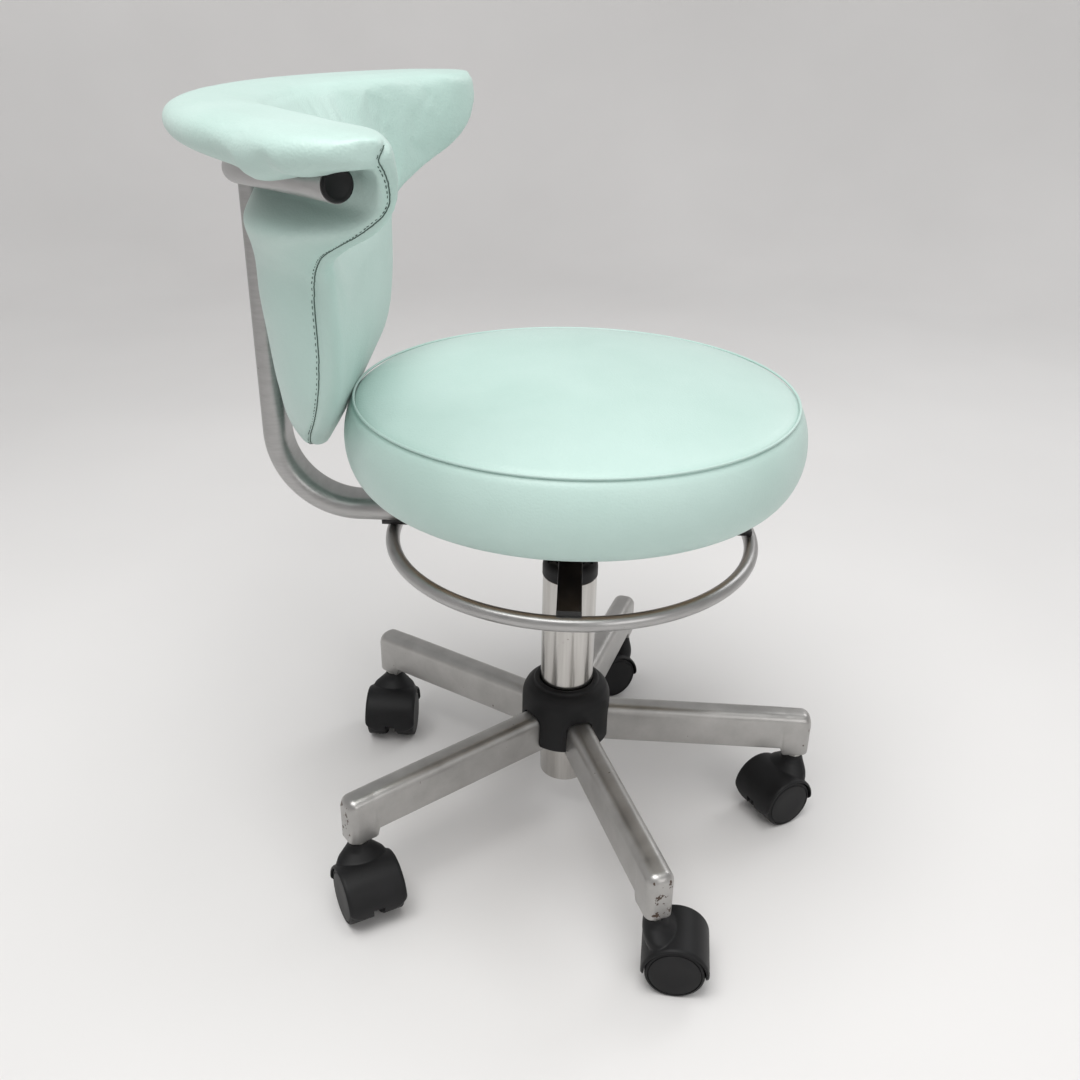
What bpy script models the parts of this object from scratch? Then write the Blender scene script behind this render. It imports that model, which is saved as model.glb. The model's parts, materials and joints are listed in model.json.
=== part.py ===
"""Dentist stool: five-arm caster base, gas lift, round seat, ring lever and crescent backrest.

Metres, +Z up. The column axis is the model's own axis: every solid is laid out around it, the
sitter faces -Y and the backrest is at +Y. At the end the whole stool is moved, through its frame
empty, so that the middle of its box stands over the origin.
"""
import math

import bmesh
import bpy
from mathutils import Matrix, Vector

GAP = 0.0003                 # clearance between pieces that touch

# ---- base -------------------------------------------------------------------------------------
ARM_COUNT = 5
FIRST_ARM_ANGLE = math.radians(128.1)
ARM_STEP = -2 * math.pi / ARM_COUNT
ARM_TIP = 0.241              # radius of the arm's end
ARM_HALF_WIDTH = 0.012
ARM_EDGE = 0.008             # rounding of the top edges
STEM_CIRCLE = 0.229          # radius of the circle of caster stems
BOOT_START = 0.214           # where the underside drops to the stem boot
HUB_RADIUS = 0.034
HUB_BOTTOM = 0.088
HUB_TOP = 0.130
COVER_RADIUS = 0.0425
COVER_BOTTOM = 0.0925
COVER_TOP = 0.153
COVER_WALL = 0.003

# ---- casters ----------------------------------------------------------------------------------
TRAIL_ANGLES = [math.radians(a) for a in (-150, 180, 120, 121, -95)]
TRAIL = 0.020
WHEEL_RADIUS = 0.025
WHEEL_SIDES = 16
WHEEL_INNER = 0.0052
WHEEL_OUTER = 0.0252
AXLE_RADIUS = 0.003
HOOD_RADIUS = 0.0285
HOOD_INNER = 0.0258
HOOD_HALF_WIDTH = 0.027
HOOD_WEB = 0.0048
HOOD_START = math.radians(-12)
HOOD_END = math.radians(192)
NECK_RADIUS = 0.010
NECK_TOP = 0.0662
STEM_RADIUS = 0.0055
STEM_TOP = 0.104
SOCKET_FLOOR = 0.0475

# ---- gas lift ---------------------------------------------------------------------------------
TUBE_RADIUS = 0.025
TUBE_BOTTOM = 0.045
TUBE_TOP = 0.265
TAPER_TOP = 0.135
TAPER_RADIUS = 0.0235
TUBE_BORE = 0.0225
BUSH_TOP = 0.281
CYLINDER_RADIUS = 0.014
CYLINDER_BOTTOM = 0.0625
CYLINDER_TOP = 0.3385
ROD_RADIUS = 0.004
ROD_TOP = 0.285
VALVE_RADIUS = 0.002

# ---- ring lever -------------------------------------------------------------------------------
RING_RADIUS = 0.160
RING_TUBE = 0.0063
RING_HEIGHT = 0.3070
STRAP_HALF_WIDTH = 0.0098
STRAP_BOTTOM = RING_HEIGHT + RING_TUBE + GAP
STRAP_TOP = STRAP_BOTTOM + 0.0048
PIVOT_Y = -0.045
PIVOT_Z = 0.330
PIVOT_RADIUS = 0.0025

# ---- seat -------------------------------------------------------------------------------------
SEAT_RADIUS = 0.197
SEAT_BOTTOM = 0.370
SEAM_RADIUS = 0.1863
SEAM_HEIGHT = 0.441
SEAT_CROWN = 0.458
BOARD_RADIUS = 0.165
PLATE_BOTTOM = 0.3625
PLATE_TOP = 0.3665
BOARD_TOP = 0.3788
BOLT_OFFSET = 0.060
FLOOR_BOTTOM = 0.3395        # the bracket's floor, above the back bar
FLOOR_TOP = 0.3445

# ---- back -------------------------------------------------------------------------------------
BAR_HALF_WIDTH = 0.021
BAR_HALF_DEPTH = 0.010
BAR_FRONT = 0.0240
BAR_LEVEL = 0.329
BAR_BEND = 0.070
BAR_BACK = 0.258
ARC_TUBE = 0.011
ARC_WALL = 0.0018
ARC_RADIUS = 0.273
ARC_END = 0.235
ARC_LEVEL = 0.620
ARC_RISE = 0.413
BAR_TOP = ARC_LEVEL - ARC_TUBE - GAP
CREST_TOP = 0.672
CREST_BOTTOM = 0.645
PAD_TOP = CREST_BOTTOM - GAP
PAD_BOTTOM = 0.390
BACK_BOLT_HEIGHTS = (0.500, 0.555)

PALETTE = {
    "vinyl": ((0.42, 0.66, 0.58), 0.45, 0.0),
    "satin_steel": ((0.55, 0.55, 0.55), 0.35, 0.9),
    "chrome": ((0.70, 0.70, 0.70), 0.15, 1.0),
    "black_plastic": ((0.02, 0.02, 0.02), 0.5, 0.0),
    "black_steel": ((0.03, 0.03, 0.03), 0.45, 0.3),
    "zinc_steel": ((0.60, 0.60, 0.58), 0.4, 0.9),
    "plywood": ((0.50, 0.36, 0.20), 0.6, 0.0),
}


# ---- helpers ----------------------------------------------------------------------------------
def clear_scene():
    for obj in list(bpy.data.objects):
        bpy.data.objects.remove(obj, do_unlink=True)


def material_for(node, finish):
    colour, roughness, metallic = PALETTE[finish]
    mat = bpy.data.materials.new(node)
    mat.use_nodes = True
    shader = mat.node_tree.nodes["Principled BSDF"]
    shader.inputs["Base Color"].default_value = (*colour, 1.0)
    shader.inputs["Roughness"].default_value = roughness
    shader.inputs["Metallic"].default_value = metallic
    return mat


def mesh_of(bm, name):
    bmesh.ops.remove_doubles(bm, verts=bm.verts, dist=1e-6)
    bmesh.ops.recalc_face_normals(bm, faces=bm.faces)
    mesh = bpy.data.meshes.new(name)
    bm.to_mesh(mesh)
    bm.free()
    mesh.shade_smooth()
    mesh.set_sharp_from_angle(angle=math.radians(35))
    return mesh


def turned(name, profile, sides, start=0.0):
    """A profile of (radius, height) points, turned about Z; a closed loop unless it meets the axis."""
    bm = bmesh.new()
    turn = Matrix.Rotation(start, 4, "Z")
    verts = [bm.verts.new(turn @ Vector((r, 0, z))) for r, z in profile]
    on_axis = [r < 1e-9 for r, _ in profile]
    pairs = list(zip(verts, verts[1:]))
    if not any(on_axis):
        pairs.append((verts[-1], verts[0]))
    edges = [bm.edges.new(pair) for pair in pairs]
    bmesh.ops.spin(bm, geom=verts + edges, cent=(0, 0, 0), axis=(0, 0, 1), angle=2 * math.pi,
                   steps=sides, use_merge=True, use_duplicate=False)
    return mesh_of(bm, name)


def prism(name, outline, direction):
    """A closed outline of points, pushed along a direction."""
    bm = bmesh.new()
    face = bm.faces.new([bm.verts.new(p) for p in outline])
    pushed = bmesh.ops.extrude_face_region(bm, geom=[face])["geom"]
    moved = [g for g in pushed if isinstance(g, bmesh.types.BMVert)]
    bmesh.ops.translate(bm, vec=direction, verts=moved)
    return mesh_of(bm, name)


def block(name, low, high):
    (x0, y0, z0), (x1, y1, z1) = low, high
    outline = [(x0, y0, z0), (x1, y0, z0), (x1, y1, z0), (x0, y1, z0)]
    return prism(name, outline, (0, 0, z1 - z0))


def rod(name, start, end, radius, sides=16):
    """A round bar between two points."""
    a, b = Vector(start), Vector(end)
    span = b - a
    bm = bmesh.new()
    bmesh.ops.create_cone(bm, cap_ends=True, segments=sides, radius1=radius, radius2=radius,
                          depth=span.length)
    turn = Vector((0, 0, 1)).rotation_difference(span).to_matrix().to_4x4()
    bmesh.ops.transform(bm, matrix=Matrix.Translation((a + b) / 2) @ turn, verts=bm.verts)
    return mesh_of(bm, name)


def skinned(name, rings, closed=False):
    """Quads between rings of equal length; the first and last ring are capped unless closed."""
    bm = bmesh.new()
    loops = [[bm.verts.new(p) for p in ring] for ring in rings]
    count = len(loops[0])
    pairs = list(zip(loops, loops[1:]))
    if closed:
        pairs.append((loops[-1], loops[0]))
    for low, high in pairs:
        for i in range(count):
            j = (i + 1) % count
            bm.faces.new((low[i], low[j], high[j], high[i]))
    if not closed:
        bm.faces.new(loops[0])
        bm.faces.new(loops[-1])
    return mesh_of(bm, name)


def combined(name, base, others, operation):
    """The base mesh after one exact Boolean with each of the other meshes."""
    main = bpy.data.objects.new(name, base)
    bpy.context.collection.objects.link(main)
    tools = []
    for mesh in others:
        tool = bpy.data.objects.new(name + "_tool", mesh)
        bpy.context.collection.objects.link(tool)
        tool.hide_render = True
        tool.display_type = "WIRE"
        step = main.modifiers.new("step", "BOOLEAN")
        step.operation = operation
        step.solver = "EXACT"
        step.object = tool
        tools.append(tool)
    bpy.context.view_layer.update()
    shaped = main.evaluated_get(bpy.context.evaluated_depsgraph_get())
    mesh = bpy.data.meshes.new_from_object(shaped)
    for obj in [main] + tools:
        bpy.data.objects.remove(obj, do_unlink=True)
    mesh.shade_smooth()
    mesh.set_sharp_from_angle(angle=math.radians(35))
    return mesh


def joined(name, base, others):
    return combined(name, base, others, "UNION")


def drilled(name, base, cutters):
    return combined(name, base, cutters, "DIFFERENCE")


def empty(name, parent=None, location=(0, 0, 0), turn=0.0):
    obj = bpy.data.objects.new(name, None)
    obj.empty_display_size = 0.02
    obj.location = location
    obj.rotation_euler = (0, 0, turn)
    obj.parent = parent
    bpy.context.collection.objects.link(obj)
    return obj


def piece(node, mesh, finish, parent, location=(0, 0, 0), turn=0.0):
    """One named solid under its body's empty, with its own material."""
    obj = bpy.data.objects.new(node, mesh)
    if not mesh.materials:
        mesh.materials.append(None)
    obj.location = location
    obj.rotation_euler = (0, 0, turn)
    obj.parent = parent
    bpy.context.collection.objects.link(obj)
    obj.material_slots[0].link = "OBJECT"
    obj.material_slots[0].material = material_for(node, finish)
    return obj


def moved(mesh, offset):
    mesh.transform(Matrix.Translation(offset))
    return mesh


def along(points, t):
    """Straight interpolation through (t, value) points."""
    for (t0, v0), (t1, v1) in zip(points, points[1:]):
        if t <= t1:
            return v0 + (v1 - v0) * (t - t0) / (t1 - t0)
    return points[-1][1]


# ---- base -------------------------------------------------------------------------------------
def arm_section(radius, half_width, top, bottom):
    """One upright section of an arm, with its two top edges rounded."""
    edge = min(ARM_EDGE, half_width * 0.9)
    right = []
    for k in range(4):
        a = math.pi / 6 * k
        right.append((half_width - edge + edge * math.cos(a), top - edge + edge * math.sin(a)))
    left = [(-y, z) for y, z in reversed(right)]
    loop = [(half_width, bottom)] + right + left + [(-half_width, bottom)]
    return [(radius, y, z) for y, z in loop]


def arm_mesh():
    start = HUB_RADIUS + GAP
    stations = [
        (start, ARM_HALF_WIDTH, 0.1245, 0.0870),
        (0.130, ARM_HALF_WIDTH, 0.1195, 0.0820),
        (BOOT_START, ARM_HALF_WIDTH, 0.1153, 0.0770),
        (BOOT_START + 0.003, ARM_HALF_WIDTH, 0.1150, 0.0700),
        (ARM_TIP - 0.010, ARM_HALF_WIDTH, 0.1143, 0.0700),
        (ARM_TIP - 0.004, ARM_HALF_WIDTH * 0.82, 0.1138, 0.0700),
        (ARM_TIP, ARM_HALF_WIDTH * 0.48, 0.1110, 0.0710),
    ]
    solid = skinned("arm", [arm_section(*s) for s in stations])
    hole = rod("stem_hole", (STEM_CIRCLE, 0, 0.060), (STEM_CIRCLE, 0, STEM_TOP + GAP),
               STEM_RADIUS + GAP)
    return drilled("arm", solid, [hole])


def tube_radius(z):
    """Outer radius of the lift's outer tube, which tapers down into the hub."""
    if z >= TAPER_TOP:
        return TUBE_RADIUS
    t = (z - TUBE_BOTTOM) / (TAPER_TOP - TUBE_BOTTOM)
    return TAPER_RADIUS + (TUBE_RADIUS - TAPER_RADIUS) * t


def hub_mesh():
    profile = [
        (tube_radius(HUB_TOP) + GAP, HUB_TOP),
        (HUB_RADIUS, HUB_TOP),
        (HUB_RADIUS, HUB_BOTTOM),
        (tube_radius(HUB_BOTTOM) + GAP, HUB_BOTTOM),
    ]
    return turned("hub", profile, 32)


def cover_mesh():
    """The thin domed cover, cut by an arched window over each arm."""
    inner = COVER_RADIUS - COVER_WALL
    collar = TUBE_RADIUS + GAP
    profile = [
        (collar, COVER_TOP),
        (0.0315, COVER_TOP - 0.0006),
        (0.0370, COVER_TOP - 0.0040),
        (0.0409, COVER_TOP - 0.0100),
        (COVER_RADIUS, COVER_TOP - 0.0180),
        (COVER_RADIUS, COVER_BOTTOM),
        (inner, COVER_BOTTOM),
        (inner, COVER_TOP - 0.0180),
        (inner - 0.002, COVER_TOP - 0.0120),
        (0.0345, COVER_TOP - 0.0072),
        (collar, COVER_TOP - 0.0045),
    ]
    solid = turned("cover", profile, 25)
    windows = []
    for k in range(ARM_COUNT):
        reach = [(0.030, ARM_HALF_WIDTH, 0.1245, 0.080), (0.050, ARM_HALF_WIDTH, 0.1245, 0.080)]
        window = skinned("window", [arm_section(r, w + 0.0006, t + 0.0006, b)
                                    for r, w, t, b in reach])
        window.transform(Matrix.Rotation(FIRST_ARM_ANGLE + ARM_STEP * k, 4, "Z"))
        windows.append(window)
    return drilled("cover", solid, windows)


def make_base(frame):
    base = empty("base", frame)
    piece("base_hub", hub_mesh(), "satin_steel", base)
    arm = arm_mesh()
    stem = turned("stem", [(0, SOCKET_FLOOR + GAP), (STEM_RADIUS, SOCKET_FLOOR + GAP),
                           (STEM_RADIUS, NECK_TOP + GAP), (0.0088, NECK_TOP + GAP),
                           (0.0088, 0.0697), (STEM_RADIUS, 0.0697),
                           (STEM_RADIUS, STEM_TOP - 0.001), (STEM_RADIUS - 0.001, STEM_TOP),
                           (0, STEM_TOP)], 12)
    for k in range(ARM_COUNT):
        angle = FIRST_ARM_ANGLE + ARM_STEP * k
        piece(f"base_arm_{k + 1}", arm, "satin_steel", base, turn=angle)
        place = (STEM_CIRCLE * math.cos(angle), STEM_CIRCLE * math.sin(angle), 0)
        piece(f"caster_stem_{k + 1}", stem, "zinc_steel", base, location=place)
    piece("hub_cover", cover_mesh(), "black_plastic", base)
    return base


# ---- casters ----------------------------------------------------------------------------------
def hood_mesh():
    """The hood over both treads, its middle web and its neck; the stem's axis is the local Z."""
    steps = 12
    outline = []
    for k in range(steps + 1):
        a = HOOD_START + (HOOD_END - HOOD_START) * k / steps
        outline.append((HOOD_RADIUS, a))
    for k in range(steps + 1):
        a = HOOD_END + (HOOD_START - HOOD_END) * k / steps
        outline.append((HOOD_INNER, a))
    arc = [(TRAIL + r * math.cos(a), -HOOD_HALF_WIDTH, WHEEL_RADIUS + r * math.sin(a))
           for r, a in outline]
    shell = prism("shell", arc, (0, 2 * HOOD_HALF_WIDTH, 0))
    web = [(TRAIL + 0.0270 * math.cos(a), -HOOD_WEB, WHEEL_RADIUS + 0.0270 * math.sin(a))
           for a in (HOOD_START + (HOOD_END - HOOD_START) * k / steps for k in range(steps + 1))]
    middle = prism("web", web, (0, 2 * HOOD_WEB, 0))
    lower = turned("boss", [(0, -HOOD_WEB), (0.009, -HOOD_WEB), (0.009, HOOD_WEB), (0, HOOD_WEB)], 16)
    lower.transform(Matrix.Translation((TRAIL, 0, WHEEL_RADIUS)) @ Matrix.Rotation(math.pi / 2, 4, "X"))
    wells = [rod("well", (TRAIL, s * (HOOD_WEB - GAP), WHEEL_RADIUS), (TRAIL, s * 0.030, WHEEL_RADIUS),
                 0.0270, 32) for s in (-1, 1)]
    neck = drilled("neck", rod("neck", (0, 0, 0.0380), (0, 0, NECK_TOP), NECK_RADIUS), wells)
    solid = joined("hood", shell, [middle, lower, neck])
    socket = rod("socket", (0, 0, SOCKET_FLOOR), (0, 0, 0.080), STEM_RADIUS + GAP)
    bore = rod("bore", (TRAIL, -0.02, WHEEL_RADIUS), (TRAIL, 0.02, WHEEL_RADIUS), AXLE_RADIUS + GAP)
    return drilled("hood", solid, [socket, bore])


def wheel_mesh():
    """One wheel on the +Y side of its axle, lying on a flat of its tread."""
    rim = WHEEL_RADIUS / math.cos(math.pi / WHEEL_SIDES)
    profile = [(0, WHEEL_OUTER), (rim - 0.0025, WHEEL_OUTER), (rim, WHEEL_OUTER - 0.0025),
               (rim, WHEEL_INNER), (AXLE_RADIUS + GAP, WHEEL_INNER), (AXLE_RADIUS + GAP, 0.022),
               (0, 0.022)]
    mesh = turned("wheel", profile, WHEEL_SIDES, start=math.pi / WHEEL_SIDES)
    mesh.transform(Matrix.Rotation(-math.pi / 2, 4, "X"))
    return mesh


def make_casters(frame):
    hood = hood_mesh()
    wheel = wheel_mesh()
    axle = rod("axle", (0, -0.0215, 0), (0, 0.0215, 0), AXLE_RADIUS)
    for k in range(ARM_COUNT):
        angle = FIRST_ARM_ANGLE + ARM_STEP * k
        place = (STEM_CIRCLE * math.cos(angle), STEM_CIRCLE * math.sin(angle), 0)
        caster = empty(f"caster_{k + 1}", frame, place, TRAIL_ANGLES[k])
        hub = (TRAIL, 0, WHEEL_RADIUS)
        piece(f"caster_hood_{k + 1}", hood, "black_plastic", caster)
        piece(f"caster_axle_{k + 1}", axle, "zinc_steel", caster, location=hub)
        piece(f"wheel_left_{k + 1}", wheel, "black_plastic", caster, location=hub)
        piece(f"wheel_right_{k + 1}", wheel, "black_plastic", caster, location=hub, turn=math.pi)


# ---- gas lift ---------------------------------------------------------------------------------
def make_lift(base, piston, seat, valve):
    rod_hole = ROD_RADIUS + GAP
    tube = [(TUBE_RADIUS - 0.0008, TUBE_TOP), (TUBE_RADIUS, TUBE_TOP - 0.0008),
            (TUBE_RADIUS, TAPER_TOP), (TAPER_RADIUS, TUBE_BOTTOM + 0.001),
            (TAPER_RADIUS - 0.001, TUBE_BOTTOM), (rod_hole, TUBE_BOTTOM),
            (rod_hole, TUBE_BOTTOM + 0.004), (TAPER_RADIUS - 0.002, TUBE_BOTTOM + 0.004),
            (TUBE_BORE, TAPER_TOP), (TUBE_BORE, TUBE_TOP)]
    piece("outer_tube", turned("outer_tube", tube, 28), "chrome", base)
    bore = CYLINDER_RADIUS + GAP
    bush = [(bore, BUSH_TOP - 0.001), (bore + 0.001, BUSH_TOP), (0.0205, BUSH_TOP),
            (0.0240, BUSH_TOP - 0.0018), (0.0255, BUSH_TOP - 0.0045), (0.0255, TUBE_TOP + GAP),
            (TUBE_BORE - GAP, TUBE_TOP + GAP), (TUBE_BORE - GAP, 0.185), (bore, 0.185)]
    piece("guide_bush", turned("guide_bush", bush, 24), "black_plastic", base)
    race = [(rod_hole, 0.0493), (0.012, 0.0493), (0.012, 0.0550), (rod_hole, 0.0550)]
    piece("thrust_bearing", turned("thrust_bearing", race, 20), "zinc_steel", base)

    shaft = [(0, 0.0415), (ROD_RADIUS, 0.0415), (ROD_RADIUS, ROD_TOP - 0.001),
             (ROD_RADIUS - 0.001, ROD_TOP), (0, ROD_TOP)]
    piece("piston_rod", turned("piston_rod", shaft, 16), "chrome", piston)
    clip = [(rod_hole, TUBE_BOTTOM - GAP), (0.009, TUBE_BOTTOM - GAP), (0.009, 0.0430),
            (rod_hole, 0.0430)]
    piece("retaining_clip", turned("retaining_clip", clip, 20), "zinc_steel", piston)

    channel = ROD_RADIUS + 0.0006
    valve_hole = VALVE_RADIUS + GAP
    barrel = [(channel, CYLINDER_BOTTOM), (CYLINDER_RADIUS - 0.001, CYLINDER_BOTTOM),
              (CYLINDER_RADIUS, CYLINDER_BOTTOM + 0.001), (CYLINDER_RADIUS, CYLINDER_TOP - 0.001),
              (CYLINDER_RADIUS - 0.001, CYLINDER_TOP), (valve_hole, CYLINDER_TOP),
              (valve_hole, 0.300), (channel, 0.300)]
    piece("gas_cylinder", turned("gas_cylinder", barrel, 24), "chrome", seat)
    piece("valve_pin", rod("valve_pin", (0, 0, 0.3100), (0, 0, 0.3475 - GAP), VALVE_RADIUS, 12),
          "zinc_steel", valve)


# ---- ring lever -------------------------------------------------------------------------------
def cross_mesh():
    """A flat plate cross: four straps from an open middle hub to the top of the ring."""
    hub_hole = 0.0175
    hub_rim = 0.027
    w = STRAP_HALF_WIDTH
    reach = [(math.pi / 2, RING_RADIUS + 0.0095), (math.pi, RING_RADIUS), (-math.pi / 2, RING_RADIUS),
             (0, RING_RADIUS)]
    plate = turned("plate", [(hub_hole, STRAP_TOP), (hub_rim, STRAP_TOP), (hub_rim, STRAP_BOTTOM),
                             (hub_hole, STRAP_BOTTOM)], 24)
    straps = []
    for angle, length in reach:
        strap = block("strap", (0.0215, -w, STRAP_BOTTOM), (length, w, STRAP_TOP))
        strap.transform(Matrix.Rotation(angle, 4, "Z"))
        straps.append(strap)
    return joined("cross", plate, straps)


def finger_mesh():
    """Two ears on the front strap and the strip that reaches back over the valve pin."""
    w = STRAP_HALF_WIDTH - 0.0002
    inner = 0.0060
    strip = block("strip", (-w, -0.053, 0.3475), (w, 0.006, 0.3505))
    left = block("ear", (-w, -0.053, STRAP_TOP + GAP), (-inner, -0.037, 0.3490))
    right = block("ear", (inner, -0.053, STRAP_TOP + GAP), (w, -0.037, 0.3490))
    solid = joined("finger", strip, [left, right])
    hole = rod("hole", (-0.02, PIVOT_Y, PIVOT_Z), (0.02, PIVOT_Y, PIVOT_Z), PIVOT_RADIUS + GAP, 12)
    return drilled("finger", solid, [hole])


def make_ring_lever(ring):
    back_to_pivot = -Vector((0, PIVOT_Y, PIVOT_Z))
    hoop = []
    for k in range(8):
        a = 2 * math.pi * (k + 0.5) / 8
        hoop.append((RING_RADIUS + RING_TUBE * math.cos(a), RING_HEIGHT + RING_TUBE * math.sin(a)))
    piece("height_ring", moved(turned("height_ring", hoop, 40), back_to_pivot), "satin_steel", ring)
    piece("lever_cross", moved(cross_mesh(), back_to_pivot), "black_steel", ring)
    piece("release_finger", moved(finger_mesh(), back_to_pivot), "black_steel", ring)


# ---- seat -------------------------------------------------------------------------------------
def bracket_mesh():
    """The bracket under the seat: socket, pivot tongue, floor and two side webs."""
    hub = rod("hub", (0, 0, 0.3200), (0, 0, 0.3420), 0.023, 24)
    tongue = block("tongue", (-0.0055, -0.052, 0.3215), (0.0055, -0.015, 0.3400))
    floor = block("floor", (-0.036, -0.034, FLOOR_BOTTOM), (0.036, 0.060, FLOOR_TOP))
    webs = [block("web", (s * 0.033 - 0.003, -0.060, 0.3250), (s * 0.033 + 0.003, 0.060, PLATE_BOTTOM - GAP))
            for s in (-1, 1)]
    solid = joined("bracket", floor, [hub, tongue] + webs)
    socket = rod("socket", (0, 0, 0.310), (0, 0, 0.350), CYLINDER_RADIUS + GAP, 24)
    hole = rod("hole", (-0.02, PIVOT_Y, PIVOT_Z), (0.02, PIVOT_Y, PIVOT_Z), PIVOT_RADIUS + GAP, 12)
    return drilled("bracket", solid, [socket, hole])


def seat_bolt_places():
    return [(sx * BOLT_OFFSET, sy * BOLT_OFFSET) for sx in (-1, 1) for sy in (-1, 1)]


def plate_mesh():
    half = 0.085
    corner = 0.012
    outline = []
    for quarter in range(4):
        centre = Matrix.Rotation(math.pi / 2 * quarter, 2) @ Vector((half - corner, half - corner))
        for k in range(4):
            a = math.pi / 2 * quarter + math.pi / 6 * k
            outline.append((centre.x + corner * math.cos(a), centre.y + corner * math.sin(a),
                            PLATE_BOTTOM))
    solid = prism("plate", outline, (0, 0, PLATE_TOP - PLATE_BOTTOM))
    holes = [rod("hole", (x, y, 0.350), (x, y, 0.380), 0.0033, 12) for x, y in seat_bolt_places()]
    return drilled("plate", solid, holes)


def board_mesh():
    profile = [(0, PLATE_TOP + GAP), (BOARD_RADIUS, PLATE_TOP + GAP), (BOARD_RADIUS, BOARD_TOP),
               (0, BOARD_TOP)]
    solid = turned("board", profile, 36)
    holes = [rod("hole", (x, y, 0.350), (x, y, 0.3765), 0.0033, 12) for x, y in seat_bolt_places()]
    return drilled("board", solid, holes)


def cushion_mesh():
    """Round cushion: crowned top to the seam, bulging side, rounded lower edge, board recess."""
    recess = BOARD_RADIUS + GAP
    profile = [
        (0, SEAT_CROWN), (0.090, SEAT_CROWN - 0.0020), (0.145, SEAT_CROWN - 0.0065),
        (SEAM_RADIUS - 0.012, SEAM_HEIGHT + 0.0050), (SEAM_RADIUS, SEAM_HEIGHT),
        (0.1935, 0.4250), (SEAT_RADIUS, 0.4050), (0.1945, 0.3880), (0.1860, 0.3755),
        (0.1740, SEAT_BOTTOM), (recess, SEAT_BOTTOM), (recess, BOARD_TOP + GAP),
        (0, BOARD_TOP + GAP),
    ]
    return turned("cushion", profile, 36)


def bolt_mesh(length):
    """A hex bolt along +Z with its head below z = 0."""
    head = rod("head", (0, 0, -0.0044), (0, 0, 0), 0.0058, 6)
    shank = rod("shank", (0, 0, -0.002), (0, 0, length), 0.0030, 12)
    return joined("bolt", head, [shank])


def make_seat(seat):
    piece("seat_bracket", bracket_mesh(), "black_steel", seat)
    piece("seat_plate", plate_mesh(), "black_steel", seat)
    piece("seat_board", board_mesh(), "plywood", seat)
    piece("seat_cushion", cushion_mesh(), "vinyl", seat)
    bolt = bolt_mesh(0.0140)
    for k, (x, y) in enumerate(seat_bolt_places()):
        place = (x, y, PLATE_BOTTOM - GAP)
        piece(f"seat_bolt_{k + 1}", bolt, "zinc_steel", seat, location=place)
    pin = rod("pivot_pin", (-0.0112, PIVOT_Y, PIVOT_Z), (0.0112, PIVOT_Y, PIVOT_Z), PIVOT_RADIUS, 12)
    piece("pivot_pin", pin, "zinc_steel", seat)


# ---- back support -----------------------------------------------------------------------------
def flat_oval(half_width, half_depth, corners=3):
    """A flat oval of (across, depth) points with half-round ends."""
    loop = []
    for side in (1, -1):
        for k in range(corners + 1):
            a = side * math.pi / 2 - math.pi * k / corners
            loop.append((side * (half_width - half_depth) + half_depth * math.cos(a),
                         half_depth * math.sin(a)))
    return loop


def bar_path():
    """Centre points and unit normals of the bar: level under the seat, one bend, then upright."""
    centre_y = BAR_BACK - BAR_BEND
    centre_z = BAR_LEVEL + BAR_BEND
    path = [((BAR_FRONT, BAR_LEVEL), (0.0, 1.0)), ((0.110, BAR_LEVEL), (0.0, 1.0))]
    steps = 7
    for k in range(steps + 1):
        a = math.pi / 2 * k / steps
        path.append(((centre_y + BAR_BEND * math.sin(a), centre_z - BAR_BEND * math.cos(a)),
                     (-math.sin(a), math.cos(a))))
    path.append(((BAR_BACK, 0.500), (-1.0, 0.0)))
    path.append(((BAR_BACK, BAR_TOP), (-1.0, 0.0)))
    return path


def hollow(name, outer, inner):
    """A tube with a wall: outer rings one way, inner rings back, joined into one closed skin."""
    return skinned(name, outer + inner[::-1], closed=True)


def bar_mesh():
    wall = 0.002
    skins = []
    for cut in (0.0, wall):
        section = flat_oval(BAR_HALF_WIDTH - cut, BAR_HALF_DEPTH - cut)
        skins.append([[(x, y + d * ny, z + d * nz) for x, d in section]
                      for (y, z), (ny, nz) in bar_path()])
    solid = hollow("bar", *skins)
    holes = [rod("hole", (0, 0.240, z), (0, 0.280, z), 0.0033, 12) for z in BACK_BOLT_HEIGHTS]
    return drilled("bar", solid, holes)


def arc_point(x):
    """Centre line of the curved tube: a round arc that runs out straight at both ends."""
    half = math.radians(41)
    turn = ARC_RADIUS * math.sin(half)
    side = abs(x)
    if side <= turn:
        y = BAR_BACK - (ARC_RADIUS - math.sqrt(ARC_RADIUS ** 2 - side ** 2))
    else:
        y = BAR_BACK - ARC_RADIUS * (1 - math.cos(half)) - (side - turn) * math.tan(half)
    return Vector((x, y, ARC_LEVEL + ARC_RISE * x * x))


def tube_rings(radius, steps=14, sides=10):
    rings = []
    for k in range(steps + 1):
        x = -ARC_END + 2 * ARC_END * k / steps
        centre = arc_point(x)
        ahead = (arc_point(x + 0.001) - arc_point(x - 0.001)).normalized()
        up = Vector((0, 0, 1))
        across = ahead.cross(up).normalized()
        up = across.cross(ahead)
        rings.append([centre + radius * (math.cos(a) * across + math.sin(a) * up)
                      for a in (2 * math.pi * (i + 0.5) / sides for i in range(sides))])
    return rings


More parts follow.
